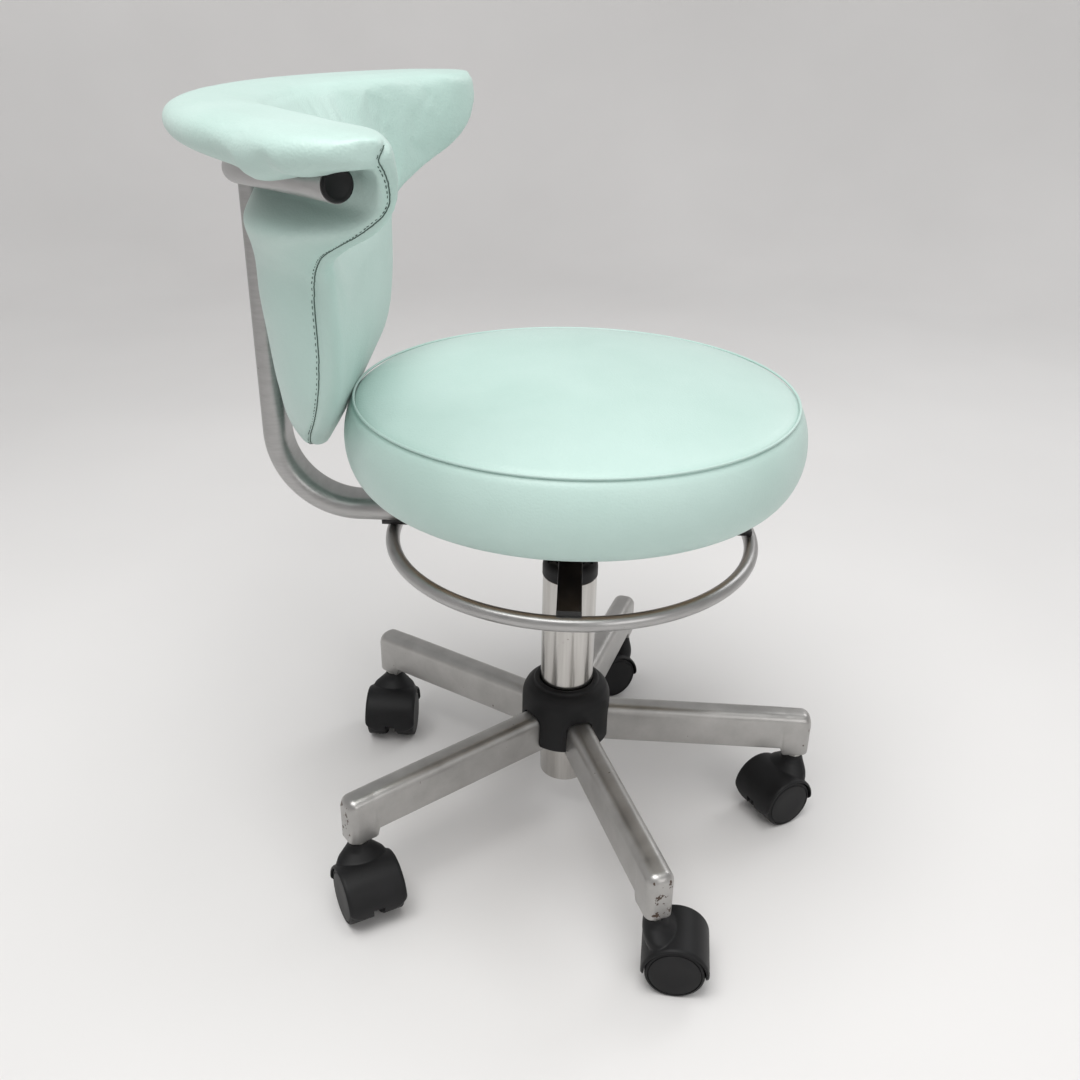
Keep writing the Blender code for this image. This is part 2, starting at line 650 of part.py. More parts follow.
def plug_mesh(side):
    """Cap and spigot for one end of the curved tube; side is -1 or 1 along X."""
    bore = ARC_TUBE - ARC_WALL
    profile = [(0, 0.0032), (0.0070, 0.0028), (ARC_TUBE - 0.0012, 0.0014), (ARC_TUBE - 0.0004, GAP),
               (bore - 0.0009, GAP), (bore - 0.0009, -0.012), (0, -0.012)]
    mesh = turned("plug", profile, 16)
    end = arc_point(side * ARC_END)
    ahead = (end - arc_point(side * (ARC_END - 0.004))).normalized()
    turn = Vector((0, 0, 1)).rotation_difference(ahead).to_matrix().to_4x4()
    mesh.transform(Matrix.Translation(end) @ turn)
    return mesh


# ---- backrest ---------------------------------------------------------------------------------
INNER_EDGE = [(0.0, 0.238), (0.040, 0.234), (0.060, 0.228), (0.085, 0.2165), (0.100, 0.2050),
              (0.126, 0.1870), (0.146, 0.1695), (0.174, 0.1500), (0.189, 0.1370), (0.199, 0.1265),
              (0.213, 0.1180), (0.231, 0.1120), (0.249, 0.1080)]
OUTER_EDGE = [(0.0, 0.310), (0.050, 0.305), (0.100, 0.289), (0.150, 0.262), (0.200, 0.222),
              (0.250, 0.175), (0.270, 0.140)]
FRONT_AT_CENTRE = [(PAD_BOTTOM, 0.2130), (0.400, 0.2080), (0.410, 0.2032), (0.420, 0.1988),
                   (0.430, 0.1945), (0.440, 0.1897), (0.450, 0.1848), (0.460, 0.1806),
                   (0.470, 0.1778), (0.480, 0.1761), (0.500, 0.1740), (0.520, 0.1731),
                   (0.560, 0.1725)]
LUMBAR_TOP = 0.560           # above this the front leans back to the crescent's inner edge
FORWARD_OF_CENTRE = [(0.0, 0.0), (0.060, 0.0005), (0.120, 0.0020), (0.135, 0.0045), (0.150, 0.0120),
                     (0.172, 0.0245), (0.197, 0.0410), (0.210, 0.0500), (0.219, 0.0580),
                     (0.230, 0.0650), (0.250, 0.0655)]
LEAN = [(LUMBAR_TOP, 0.0), (0.575, 0.04), (0.600, 0.24), (0.640, 0.66), (CREST_TOP, 1.0)]
BACK_AT_CENTRE = [(PAD_BOTTOM, 0.2235), (0.400, 0.2300), (0.410, 0.2350), (0.420, 0.2385),
                  (0.430, 0.2405), (0.445, 0.2425), (0.460, 0.2440), (0.480, 0.2460),
                  (0.500, 0.2468), (0.606, 0.2460)]
HALF_WIDTH = [(PAD_BOTTOM, 0.012), (0.394, 0.026), (0.400, 0.038), (0.410, 0.055), (0.420, 0.070),
              (0.430, 0.085), (0.440, 0.098), (0.450, 0.108), (0.460, 0.1165), (0.470, 0.1220),
              (0.480, 0.1245), (0.500, 0.1276), (0.520, 0.1300), (0.550, 0.1315), (0.560, 0.1325),
              (0.5665, 0.135), (0.5785, 0.150), (0.589, 0.172), (0.6014, 0.197), (0.6077, 0.210),
              (0.6168, 0.219), (0.6277, 0.229), (0.638, 0.238), (CREST_BOTTOM, 0.244)]
BACK_POWER = [(0.460, 2.0), (0.500, 2.3), (0.540, 3.1)]
TUBE_SHELF = 0.607           # from this height up the pad stays in front of the curved tube
EDGE_ROLL = 0.013            # the front panel's turn back to the seam


def front_face(x, z):
    """Sitter's side of the back pad: flat over the tongue, leaning back to the crescent above it."""
    low = along(FRONT_AT_CENTRE, min(z, LUMBAR_TOP)) - along(FORWARD_OF_CENTRE, abs(x))
    return low + (along(INNER_EDGE, abs(x)) - low) * along(LEAN, max(z, LUMBAR_TOP))


def tube_front(x):
    """Depth of the curved tube's front side, with a small gap."""
    slope = (arc_point(abs(x) + 0.001).y - arc_point(abs(x) - 0.001).y) / 0.002
    return arc_point(x).y - ARC_TUBE * math.hypot(1, slope) - 0.0010


def pad_level(z, steps=12):
    """One level outline of the back pad, from the right edge along the front and back again."""
    half = along(HALF_WIDTH, z)
    roll = min(EDGE_ROLL, half * 0.9)
    power = along(BACK_POWER, min(max(z, 0.460), 0.540))
    front, back = [], []
    for k in range(steps + 1):
        s = math.sin(math.pi / 2 * (1 - 2 * k / steps))
        x = half * s
        turn = max(abs(x) - (half - roll), 0) / roll
        y = front_face(x, z) + roll * (1 - math.sqrt(max(1 - turn * turn, 0)))
        seam = front_face(half * (1 if s > 0 else -1), z) + roll
        rear = tube_front(x) if z > TUBE_SHELF - GAP else along(BACK_AT_CENTRE, z)
        fullness = math.sqrt(max(1 - abs(s) ** power, 0))
        front.append((x, y, z))
        back.append((x, max(seam + (rear - seam) * fullness, y + 0.001 * (1 - s * s)), z))
    return front + back[-2:0:-1]


def pad_mesh():
    levels = [PAD_BOTTOM, 0.394, 0.400, 0.410, 0.425, 0.440, 0.455, 0.470, 0.490, 0.515, 0.540,
              0.560, 0.5665, 0.5785, 0.589, 0.598, TUBE_SHELF - 0.0012, TUBE_SHELF, 0.6168, 0.6277,
              0.638, PAD_TOP]
    solid = skinned("pad", [pad_level(z) for z in levels])
    holes = [rod("hole", (0, 0.2330, z), (0, 0.260, z), 0.0033, 12) for z in BACK_BOLT_HEIGHTS]
    return drilled("pad", solid, holes)


def crest_section(x_inner, x_outer, squash):
    """An upright section from the inner edge to the rolled outer edge of the crescent."""
    start = Vector((x_inner, along(INNER_EDGE, abs(x_inner)), 0))
    end = Vector((x_outer, along(OUTER_EDGE, abs(x_outer)), 0))
    middle = (start + end) / 2
    start = middle + (start - middle) * squash
    end = middle + (end - middle) * squash
    across = (end - start).normalized()
    width = (end - start).length
    over_tube = CREST_BOTTOM + 0.20 * x_inner * x_inner
    mid = (CREST_TOP + CREST_BOTTOM) / 2
    half = (CREST_TOP - CREST_BOTTOM) / 2
    roll = min(0.013, width * 0.3)
    loop = [(0.0, over_tube), (0.0, CREST_TOP - 0.003), (0.003, CREST_TOP), (width * 0.5, CREST_TOP)]
    for k in range(7):
        a = math.pi / 2 - math.pi * k / 6
        loop.append((width - roll + roll * math.cos(a), mid + half * math.sin(a)))
    loop.append((width * 0.62, over_tube))
    return [start + across * d + Vector((0, 0, z)) for d, z in loop]


def crest_mesh():
    stations = [(-0.249, -0.2700, 0.45), (-0.245, -0.2695, 0.80), (-0.237, -0.2660, 1.0)]
    spread = 12
    for k in range(spread + 1):
        s = -1 + 2 * k / spread
        stations.append((0.222 * s, 0.252 * s, 1.0))
    stations += [(-a, -b, c) for a, b, c in reversed(stations[:3])]
    return skinned("crest", [crest_section(*s) for s in stations])


def make_back(seat):
    piece("back_support_bar", bar_mesh(), "satin_steel", seat)
    tube = hollow("arc_tube", tube_rings(ARC_TUBE), tube_rings(ARC_TUBE - ARC_WALL))
    piece("back_arc_tube", tube, "satin_steel", seat)
    piece("tube_plug_left", plug_mesh(-1), "black_plastic", seat)
    piece("tube_plug_right", plug_mesh(1), "black_plastic", seat)
    piece("back_pad", pad_mesh(), "vinyl", seat)
    piece("crest_pad", crest_mesh(), "vinyl", seat)
    bolt = bolt_mesh(0.0330)
    bolt.transform(Matrix.Rotation(math.pi / 2, 4, "X"))
    for k, z in enumerate(BACK_BOLT_HEIGHTS):
        place = (0, BAR_BACK + BAR_HALF_DEPTH + GAP, z)
        piece(f"back_bolt_{k + 1}", bolt, "zinc_steel", seat, location=place)


def centre_frame(frame):
    """Stand the middle of the whole stool's box over the origin."""
    bpy.context.view_layer.update()
    corners = [obj.matrix_world @ v.co for obj in bpy.data.objects if obj.type == "MESH"
               for v in obj.data.vertices]
    low = Vector([min(c[i] for c in corners) for i in range(3)])
    high = Vector([max(c[i] for c in corners) for i in range(3)])
    frame.location = (-(low.x + high.x) / 2, -(low.y + high.y) / 2, 0)
    bpy.context.view_layer.update()


def main():
    clear_scene()
    frame = empty("stool_frame")
    base = make_base(frame)
    piston = empty("seat_swivel", frame)
    seat = empty("seat_lift", frame)
    ring = empty("ring_lever", frame, (0, PIVOT_Y, PIVOT_Z))
    valve = empty("valve_travel", frame)
    make_lift(base, piston, seat, valve)
    make_ring_lever(ring)
    make_seat(seat)
    make_back(seat)
    make_casters(frame)
    centre_frame(frame)


main()
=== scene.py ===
"""Looks of the dentist stool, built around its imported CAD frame.

Mint vinyl cushion and backrest, satin steel base, ring and back bar, chrome gas lift, and black
plastic hub cover, casters and plugs. Everything is in metres, in the frame's own coordinates; the
column's axis and the casters' places are read from the frame.
"""

import json
import math

import bmesh
import bpy
from mathutils import Matrix, Vector
from mathutils.bvhtree import BVHTree
from mathutils.kdtree import KDTree


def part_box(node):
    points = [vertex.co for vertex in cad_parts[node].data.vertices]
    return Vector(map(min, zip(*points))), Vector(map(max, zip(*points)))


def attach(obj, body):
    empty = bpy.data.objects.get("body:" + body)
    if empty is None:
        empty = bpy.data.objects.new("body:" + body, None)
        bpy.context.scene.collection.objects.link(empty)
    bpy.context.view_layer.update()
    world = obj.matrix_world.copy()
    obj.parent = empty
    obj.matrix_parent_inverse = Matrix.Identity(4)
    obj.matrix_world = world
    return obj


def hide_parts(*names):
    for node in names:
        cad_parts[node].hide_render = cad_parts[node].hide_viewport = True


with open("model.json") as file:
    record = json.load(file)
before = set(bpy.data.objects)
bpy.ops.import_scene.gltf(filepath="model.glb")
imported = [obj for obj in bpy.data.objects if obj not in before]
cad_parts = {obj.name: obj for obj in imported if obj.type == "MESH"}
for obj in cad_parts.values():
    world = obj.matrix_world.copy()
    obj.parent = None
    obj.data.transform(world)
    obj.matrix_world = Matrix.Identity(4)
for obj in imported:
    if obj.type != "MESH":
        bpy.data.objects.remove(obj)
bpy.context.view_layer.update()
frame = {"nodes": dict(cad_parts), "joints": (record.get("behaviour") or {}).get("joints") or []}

TAU = 2 * math.pi
TUBE_LOW, TUBE_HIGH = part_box("outer_tube")
COLUMN = Vector(((TUBE_LOW.x + TUBE_HIGH.x) / 2, (TUBE_LOW.y + TUBE_HIGH.y) / 2, 0))


# ---- mesh helpers -----------------------------------------------------------------------------
def linked(name, data):
    obj = bpy.data.objects.new(name, data)
    bpy.context.scene.collection.objects.link(obj)
    return obj


def arc(centre, radii, start, end, steps):
    """Points on an elliptic arc, from one angle in degrees to another, both included."""
    points = []
    for k in range(steps + 1):
        a = math.radians(start + (end - start) * k / steps)
        points.append((centre[0] + radii[0] * math.cos(a), centre[1] + radii[1] * math.sin(a)))
    return points


def mesh_object(name, points, faces, sharp=40):
    mesh = bpy.data.meshes.new(name)
    mesh.from_pydata([tuple(p) for p in points], [], faces)
    bm = bmesh.new()
    bm.from_mesh(mesh)
    bmesh.ops.remove_doubles(bm, verts=bm.verts, dist=1e-6)
    bmesh.ops.recalc_face_normals(bm, faces=bm.faces)
    bm.to_mesh(mesh)
    bm.free()
    mesh.shade_smooth()
    if sharp:
        mesh.set_sharp_from_angle(angle=math.radians(sharp))
    return linked(name, mesh)


def skinned(name, rings, closed=False, capped=True, sharp=40):
    """Quads between rings of equal length. Closed joins the last ring to the first."""
    count = len(rings[0])
    points = [p for ring in rings for p in ring]
    faces = []
    last = len(rings) if closed else len(rings) - 1
    for r in range(last):
        a, b = r * count, ((r + 1) % len(rings)) * count
        for i in range(count):
            j = (i + 1) % count
            faces.append((a + i, a + j, b + j, b + i))
    if capped and not closed:
        faces.append(tuple(range(count)))
        faces.append(tuple((len(rings) - 1) * count + i for i in range(count)))
    return mesh_object(name, points, faces, sharp)


def turned(name, profile, sides=96, sharp=40):
    """A (radius, height) profile turned about Z; ends on the axis close the solid."""
    open_ends = profile[0][0] < 1e-9 and profile[-1][0] < 1e-9
    rings = []
    for r, z in profile:
        rings.append([(r * math.cos(TAU * k / sides), r * math.sin(TAU * k / sides), z)
                      for k in range(sides)])
    return skinned(name, rings, closed=not open_ends, capped=False, sharp=sharp)


def softened(profile, radius, steps=4, closed=False):
    """The same profile with each corner replaced by a small arc-like curve."""
    out = []
    count = len(profile)
    for i, p in enumerate(profile):
        if not closed and i in (0, count - 1):
            out.append(tuple(p))
            continue
        here = Vector(p)
        before = Vector(profile[i - 1])
        after = Vector(profile[(i + 1) % count])
        cut_a = min(radius, (before - here).length * 0.45)
        cut_b = min(radius, (after - here).length * 0.45)
        a = here + (before - here).normalized() * cut_a
        b = here + (after - here).normalized() * cut_b
        for k in range(steps + 1):
            t = k / steps
            q = a * (1 - t) ** 2 + here * (2 * t * (1 - t)) + b * t * t
            out.append((q.x, q.y))
    return out


def applied(obj):
    """Apply every modifier, so that the piece's mesh is the shape itself."""
    graph = bpy.context.evaluated_depsgraph_get()
    graph.update()
    mesh = bpy.data.meshes.new_from_object(obj.evaluated_get(graph))
    obj.modifiers.clear()
    obj.data = mesh
    return obj


def creased(obj, degrees):
    """Smooth shading with sharp edges kept above an angle."""
    obj.data.shade_smooth()
    obj.data.set_sharp_from_angle(angle=math.radians(degrees))


def half_width(low, high):
    return (high.x - low.x) / 2


def middle_of(low, high):
    return (low.z + high.z) / 2


def stem_offset(k):
    """From the column's axis to the k-th caster's stem, on the floor plane."""
    low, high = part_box(f"caster_stem_{k}")
    return Vector(((low.x + high.x) / 2, (low.y + high.y) / 2, 0)) - COLUMN


def point_tree(points):
    tree = KDTree(len(points))
    for i, p in enumerate(points):
        tree.insert(p, i)
    tree.balance()
    return tree


def merged(name, objects):
    """One mesh of several objects' meshes, still overlapping."""
    bm = bmesh.new()
    for obj in objects:
        obj.data.transform(obj.matrix_world)
        bm.from_mesh(obj.data)
        bpy.data.objects.remove(obj, do_unlink=True)
    mesh = bpy.data.meshes.new(name)
    bm.to_mesh(mesh)
    bm.free()
    return linked(name, mesh)


def fused(obj, voxel, smooth):
    """Melt overlapping closed shapes into one skin, then even it out."""
    remesh = obj.modifiers.new("fuse", "REMESH")
    remesh.mode = "VOXEL"
    remesh.voxel_size = voxel
    relax = obj.modifiers.new("relax", "SMOOTH")
    relax.factor = 0.5
    relax.iterations = smooth
    applied(obj)
    obj.data.shade_smooth()
    return obj


def boolean(obj, tools, operation="DIFFERENCE"):
    for tool in tools:
        step = obj.modifiers.new("cut", "BOOLEAN")
        step.operation = operation
        step.solver = "EXACT"
        step.object = tool
    applied(obj)
    for tool in tools:
        bpy.data.objects.remove(tool, do_unlink=True)
    return obj


def box_object(name, low, high):
    points = [(x, y, z) for z in (low[2], high[2]) for x, y in
              ((low[0], low[1]), (high[0], low[1]), (high[0], high[1]), (low[0], high[1]))]
    faces = [(0, 1, 2, 3), (4, 5, 6, 7), (0, 1, 5, 4), (1, 2, 6, 5), (2, 3, 7, 6), (3, 0, 4, 7)]
    return mesh_object(name, points, faces)


def frames_along(path):
    """Tangent, side and up vectors along a path, carried without twist."""
    path = [Vector(p) for p in path]
    tangents = []
    for i in range(len(path)):
        a = path[max(i - 1, 0)]
        b = path[min(i + 1, len(path) - 1)]
        tangents.append((b - a).normalized())
    side = tangents[0].cross(Vector((0, 0, 1)))
    if side.length < 0.2:
        side = tangents[0].cross(Vector((0, 1, 0)))
    side.normalize()
    out = []
    for p, t in zip(path, tangents):
        side = (side - t * side.dot(t)).normalized()
        out.append((p, t, side, t.cross(side)))
    return out


def tube_rings(path, radius, sides):
    rings = []
    for p, _, side, up in frames_along(path):
        rings.append([p + radius * (math.cos(TAU * k / sides) * side + math.sin(TAU * k / sides) * up)
                      for k in range(sides)])
    return rings


def curve_value(points, t):
    """A smooth curve through (t, value) points, level in slope with its neighbours."""
    if t <= points[0][0]:
        return points[0][1]
    if t >= points[-1][0]:
        return points[-1][1]
    i = max(k for k in range(len(points) - 1) if points[k][0] <= t)
    t0, v0 = points[i]
    t1, v1 = points[i + 1]
    span = t1 - t0

    def slope(k):
        a = points[max(k - 1, 0)]
        b = points[min(k + 1, len(points) - 1)]
        return (b[1] - a[1]) / (b[0] - a[0])

    u = (t - t0) / span
    return ((2 * u ** 3 - 3 * u ** 2 + 1) * v0 + (u ** 3 - 2 * u ** 2 + u) * span * slope(i)
            + (3 * u ** 2 - 2 * u ** 3) * v1 + (u ** 3 - u ** 2) * span * slope(i + 1))


def smooth_step(t):
    t = min(max(t, 0.0), 1.0)
    return t * t * (3 - 2 * t)


def densified(points, step):
    """Points every few millimetres on a Catmull-Rom curve through the given ones."""
    points = [Vector(p) for p in points]
    out = []
    for i in range(len(points) - 1):
        p0 = points[max(i - 1, 0)]
        p1, p2 = points[i], points[i + 1]
        p3 = points[min(i + 2, len(points) - 1)]
        count = max(2, int((p2 - p1).length / step))
        for k in range(count):
            t = k / count
            out.append(0.5 * ((2 * p1) + (p2 - p0) * t + (2 * p0 - 5 * p1 + 4 * p2 - p3) * t * t
                              + (3 * p1 - p0 - 3 * p2 + p3) * t ** 3))
    out.append(points[-1])
    return out


# ---- material helpers -------------------------------------------------------------------------
class Look:
    """A node material built step by step around one Principled shader."""

    def __init__(self, name):
        self.mat = bpy.data.materials.new(name)
        self.mat.use_nodes = True
        self.nodes = self.mat.node_tree.nodes
        self.links = self.mat.node_tree.links
        self.shader = self.nodes["Principled BSDF"]
        self.coords = self.nodes.new("ShaderNodeTexCoord").outputs["Object"]

    def set(self, **values):
        for key, value in values.items():
            self.shader.inputs[key.replace("_", " ")].default_value = value
        return self

    def stretched(self, scale):
        node = self.nodes.new("ShaderNodeMapping")
        node.inputs["Scale"].default_value = scale
        self.links.new(self.coords, node.inputs["Vector"])
        return node.outputs["Vector"]

    def noise(self, scale, detail=3.0, rough=0.5, vector=None):
        node = self.nodes.new("ShaderNodeTexNoise")
        node.inputs["Scale"].default_value = scale
        node.inputs["Detail"].default_value = detail
        node.inputs["Roughness"].default_value = rough
        self.links.new(vector or self.coords, node.inputs["Vector"])
        return node.outputs["Fac"]

    def cells(self, scale):
        node = self.nodes.new("ShaderNodeTexVoronoi")
        node.inputs["Scale"].default_value = scale
        self.links.new(self.coords, node.inputs["Vector"])
        return node.outputs["Distance"]

    def ramp(self, value, stops):
        node = self.nodes.new("ShaderNodeValToRGB")
        ramp = node.color_ramp
        while len(ramp.elements) < len(stops):
            ramp.elements.new(0.5)
        for element, (place, colour) in zip(ramp.elements, stops):
            element.position = place
            element.color = (*colour, 1)
        self.links.new(value, node.inputs["Fac"])
        return node.outputs["Color"]

    def scaled(self, value, low, high, from_low=0.0, from_high=1.0):
        node = self.nodes.new("ShaderNodeMapRange")
        node.inputs["From Min"].default_value = from_low
        node.inputs["From Max"].default_value = from_high
        node.inputs["To Min"].default_value = low
        node.inputs["To Max"].default_value = high
        self.links.new(value, node.inputs["Value"])
        return node.outputs["Result"]

    def maths(self, operation, a, b=0.0):
        node = self.nodes.new("ShaderNodeMath")
        node.operation = operation
        for slot, value in zip(node.inputs, (a, b)):
            if isinstance(value, (int, float)):
                slot.default_value = value
            else:
                self.links.new(value, slot)
        return node.outputs[0]

    def blend(self, factor, a, b):
        node = self.nodes.new("ShaderNodeMix")
        node.data_type = "RGBA"
        self.links.new(factor, node.inputs["Factor"])
        for slot, value in ((node.inputs[6], a), (node.inputs[7], b)):
            if isinstance(value, tuple):
                slot.default_value = (*value, 1)
            else:
                self.links.new(value, slot)
        return node.outputs[2]

    def feed(self, socket, value):
        self.links.new(value, self.shader.inputs[socket])
        return self

    def bump(self, height, distance, strength=1.0):
        node = self.nodes.new("ShaderNodeBump")
        node.inputs["Strength"].default_value = strength
        node.inputs["Distance"].default_value = distance
        self.links.new(height, node.inputs["Height"])
        self.links.new(node.outputs["Normal"], self.shader.inputs["Normal"])
        return self

    def finish(self, pattern, stops, rough, height, depth, strength):
        """Colour and roughness from one pattern, relief from another."""
        self.feed("Base Color", self.ramp(pattern, stops))
        self.feed("Roughness", self.scaled(pattern, *rough))
        return self.bump(height, depth, strength).mat

    def part(self, axis):
        node = self.nodes.new("ShaderNodeSeparateXYZ")
        self.links.new(self.coords, node.inputs[0])
        return node.outputs[axis]


VINYL_PALE = (0.505, 0.665, 0.620)
VINYL_DEEP = (0.450, 0.615, 0.565)


def vinyl(name, grain_depth=0.00022):
    """Mint upholstery vinyl: pebbled grain, faint clouding and a soft sheen."""
    look = Look(name)
    clouds = look.noise(9.0, 3.0, 0.55)
    look.feed("Base Color", look.ramp(clouds, [(0.30, VINYL_DEEP), (0.72, VINYL_PALE)]))
    pebbles = look.cells(620.0)
    creases = look.noise(340.0, 4.0, 0.6)
    swell = look.noise(60.0, 2.0, 0.5)
    height = look.maths("ADD", look.maths("MULTIPLY", pebbles, -0.8), creases)
    height = look.maths("ADD", height, look.maths("MULTIPLY", swell, 1.2))
    look.feed("Roughness", look.scaled(creases, 0.36, 0.54))
    look.set(Specular_IOR_Level=0.5, Sheen_Weight=0.12, Sheen_Roughness=0.5,
             Coat_Weight=0.10, Coat_Roughness=0.35)
    look.bump(height, grain_depth, 0.55)
    return look.mat


def satin_steel(name, tone=0.42):
    """Silver-painted, lightly polished steel with long faint streaks and small dark chips."""
    look = Look(name)
    streaks = look.noise(55.0, 4.0, 0.6, look.stretched((1, 1, 7)))
    fine = look.noise(900.0, 2.0, 0.5)
    base = look.ramp(streaks, [(0.25, (tone * 0.88, tone * 0.87, tone * 0.86)),
                               (0.75, (tone * 1.08, tone * 1.07, tone * 1.06))])
    specks = look.noise(210.0, 3.0, 0.55)
    chipped = look.scaled(specks, 0.0, 1.0, 0.745, 0.765)
    look.feed("Base Color", look.blend(chipped, base, (0.05, 0.035, 0.025)))
    look.feed("Metallic", look.scaled(chipped, 0.92, 0.0))
    look.feed("Roughness", look.scaled(streaks, 0.27, 0.42))
    look.bump(fine, 0.00003, 0.35)
    return look.mat


def arm_steel(name):
    """Base arm paint: like the satin steel, with chips knocked out of the outer ends."""
    look = Look(name)
    cloud = look.noise(38.0, 4.0, 0.6)
    fine = look.noise(700.0, 2.0, 0.5)
    base = look.ramp(cloud, [(0.25, (0.36, 0.352, 0.342)), (0.75, (0.47, 0.462, 0.450))])
    x = look.maths("SUBTRACT", look.part("X"), COLUMN.x)
    y = look.maths("SUBTRACT", look.part("Y"), COLUMN.y)
    radius = look.maths("SQRT", look.maths("ADD", look.maths("MULTIPLY", x, x),
                                           look.maths("MULTIPLY", y, y)))
    near_tip = look.scaled(radius, 0.0, 0.17, 0.236, 0.2415)
    specks = look.noise(150.0, 3.0, 0.6)
    chipped = look.scaled(look.maths("ADD", specks, near_tip), 0.0, 1.0, 0.735, 0.755)
    look.feed("Base Color", look.blend(chipped, base, (0.06, 0.035, 0.022)))
    look.feed("Metallic", look.scaled(chipped, 0.9, 0.0))
    look.feed("Roughness", look.scaled(cloud, 0.30, 0.44))
    look.bump(look.maths("SUBTRACT", fine, look.maths("MULTIPLY", chipped, 4.0)), 0.00004, 0.5)
    return look.mat


def chrome(name):
    """Chromed tube: mirror-like, with upright streaks in the base colour that are painted reflections
    stretched along the tube, a faint matching relief, and a few rust pits.
    """
    look = Look(name)
    # streaks: noise drawn out along Z. In the base colour it paints reflections stretched along the tube,
    # and it also gives a faint real relief.
    streaks = look.noise(160.0, 3.0, 0.6, look.stretched((1, 1, 0.04)))
    haze = look.noise(30.0, 3.0, 0.5)
    pits = look.cells(130.0)
    spots = look.scaled(pits, 1.0, 0.0, 0.05, 0.09)
    rare = look.scaled(look.noise(24.0, 1.0, 0.5), 0.0, 1.0, 0.60, 0.66)
    rust = look.maths("MULTIPLY", spots, rare)
    # Base colour: the streaks as painted reflections, dark to light, with rust brown blended into the
    # pits.
    base = look.ramp(streaks, [(0.2, (0.40, 0.385, 0.365)), (0.8, (0.60, 0.585, 0.565))])
    look.feed("Base Color", look.blend(rust, base, (0.16, 0.07, 0.03)))
    look.feed("Metallic", look.scaled(rust, 1.0, 0.1))
    look.feed("Roughness", look.scaled(haze, 0.14, 0.26))
    look.bump(streaks, 0.00003, 0.3)
    return look.mat


def black_plastic(name, low=0.42, high=0.58):
    """Moulded black plastic with a fine spark-eroded texture and rubbed patches."""
    look = Look(name)
    rub = look.noise(28.0, 4.0, 0.6)
    texture = look.noise(1500.0, 2.0, 0.5)
    look.set(Specular_IOR_Level=0.28)
    return look.finish(rub, [(0.3, (0.0035, 0.0035, 0.004)), (0.8, (0.010, 0.010, 0.011))],
                       (low, high), texture, 0.00004, 0.5)


def black_steel(name):
    """Black stoved paint on flat steel, worn paler in scuffs."""
    look = Look(name)
    scuffs = look.noise(45.0, 5.0, 0.65)
    orange = look.noise(520.0, 2.0, 0.5)
    return look.finish(scuffs, [(0.45, (0.008, 0.008, 0.009)), (0.80, (0.035, 0.034, 0.033))],
                       (0.30, 0.50), orange, 0.00005, 0.35)


def zinc(name):
    """Zinc-plated hardware with a cloudy plating."""
    look = Look(name)
    cloud = look.noise(240.0, 4.0, 0.6)
    look.set(Metallic=1.0)
    return look.finish(cloud, [(0.3, (0.42, 0.42, 0.40)), (0.7, (0.62, 0.61, 0.57))],
                       (0.28, 0.48), cloud, 0.00003, 0.3)


def plywood(name):
    """Birch plywood with grain drawn out along X and darker pores."""
    look = Look(name)
    grain = look.noise(60.0, 5.0, 0.6, look.stretched((0.15, 1.4, 1.4)))
    return look.finish(grain, [(0.25, (0.30, 0.19, 0.09)), (0.75, (0.55, 0.40, 0.23))],
                       (0.55, 0.75), grain, 0.0001, 0.4)


def thread(name, colour):
    look = Look(name)
    twist = look.noise(2600.0, 2.0, 0.5)
    deep = tuple(c * 0.7 for c in colour)
    return look.finish(twist, [(0.3, deep), (0.7, colour)], (0.6, 0.8), twist, 0.00005, 0.5)


LOOKS = {
    "vinyl": vinyl("mint_vinyl"),
    "vinyl_back": vinyl("mint_vinyl_back", 0.00030),
    "satin_steel": satin_steel("satin_steel"),
    "arm_steel": arm_steel("arm_steel"),
    "chrome": chrome("chromed_tube"),
    "black_plastic": black_plastic("black_plastic"),
    "cover_plastic": black_plastic("cover_plastic", 0.50, 0.64),
    "black_steel": black_steel("black_steel"),
    "zinc_steel": zinc("zinc_steel"),
    "plywood": plywood("plywood"),
    # The thread colour is a real thread tone darkened to paint the shade in the stitch holes. The same
    # material colours the seam's dark cord, which is painted shade.
    "stitch": thread("stitch_thread_and_seam_shade", (0.07, 0.12, 0.10)),
}


def place(obj, body, look, replaces=(), slot=None):
    """Give a piece its material and its CAD body, and hide the CAD nodes it stands for.

    The slot argument is not used.
    """
    obj.data.materials.clear()
    obj.data.materials.append(LOOKS[look])
    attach(obj, body)
    if replaces:
        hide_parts(*replaces)
    return obj


def shift(obj, offset):
    obj.data.transform(Matrix.Translation(offset))
    return obj


# ---- base -------------------------------------------------------------------------------------
ARM_COUNT = 5
ARM_EDGE = 0.0085
ARM_HALF = 0.012


def arm_ring(radius, half, top, bottom, edge):
    """An upright section of an arm: rounded top edges and barely broken lower ones."""
    edge = min(edge, half * 0.95, (top - bottom) * 0.45)
    small = min(0.0012, edge)
    loop = (arc((half - small, bottom + small), (small, small), -90, 0, 3)
            + arc((half - edge, top - edge), (edge, edge), 0, 90, 8))
    mirror = [(-y, z) for y, z in reversed(loop)]
    return [(radius, y, z) for y, z in loop + mirror]


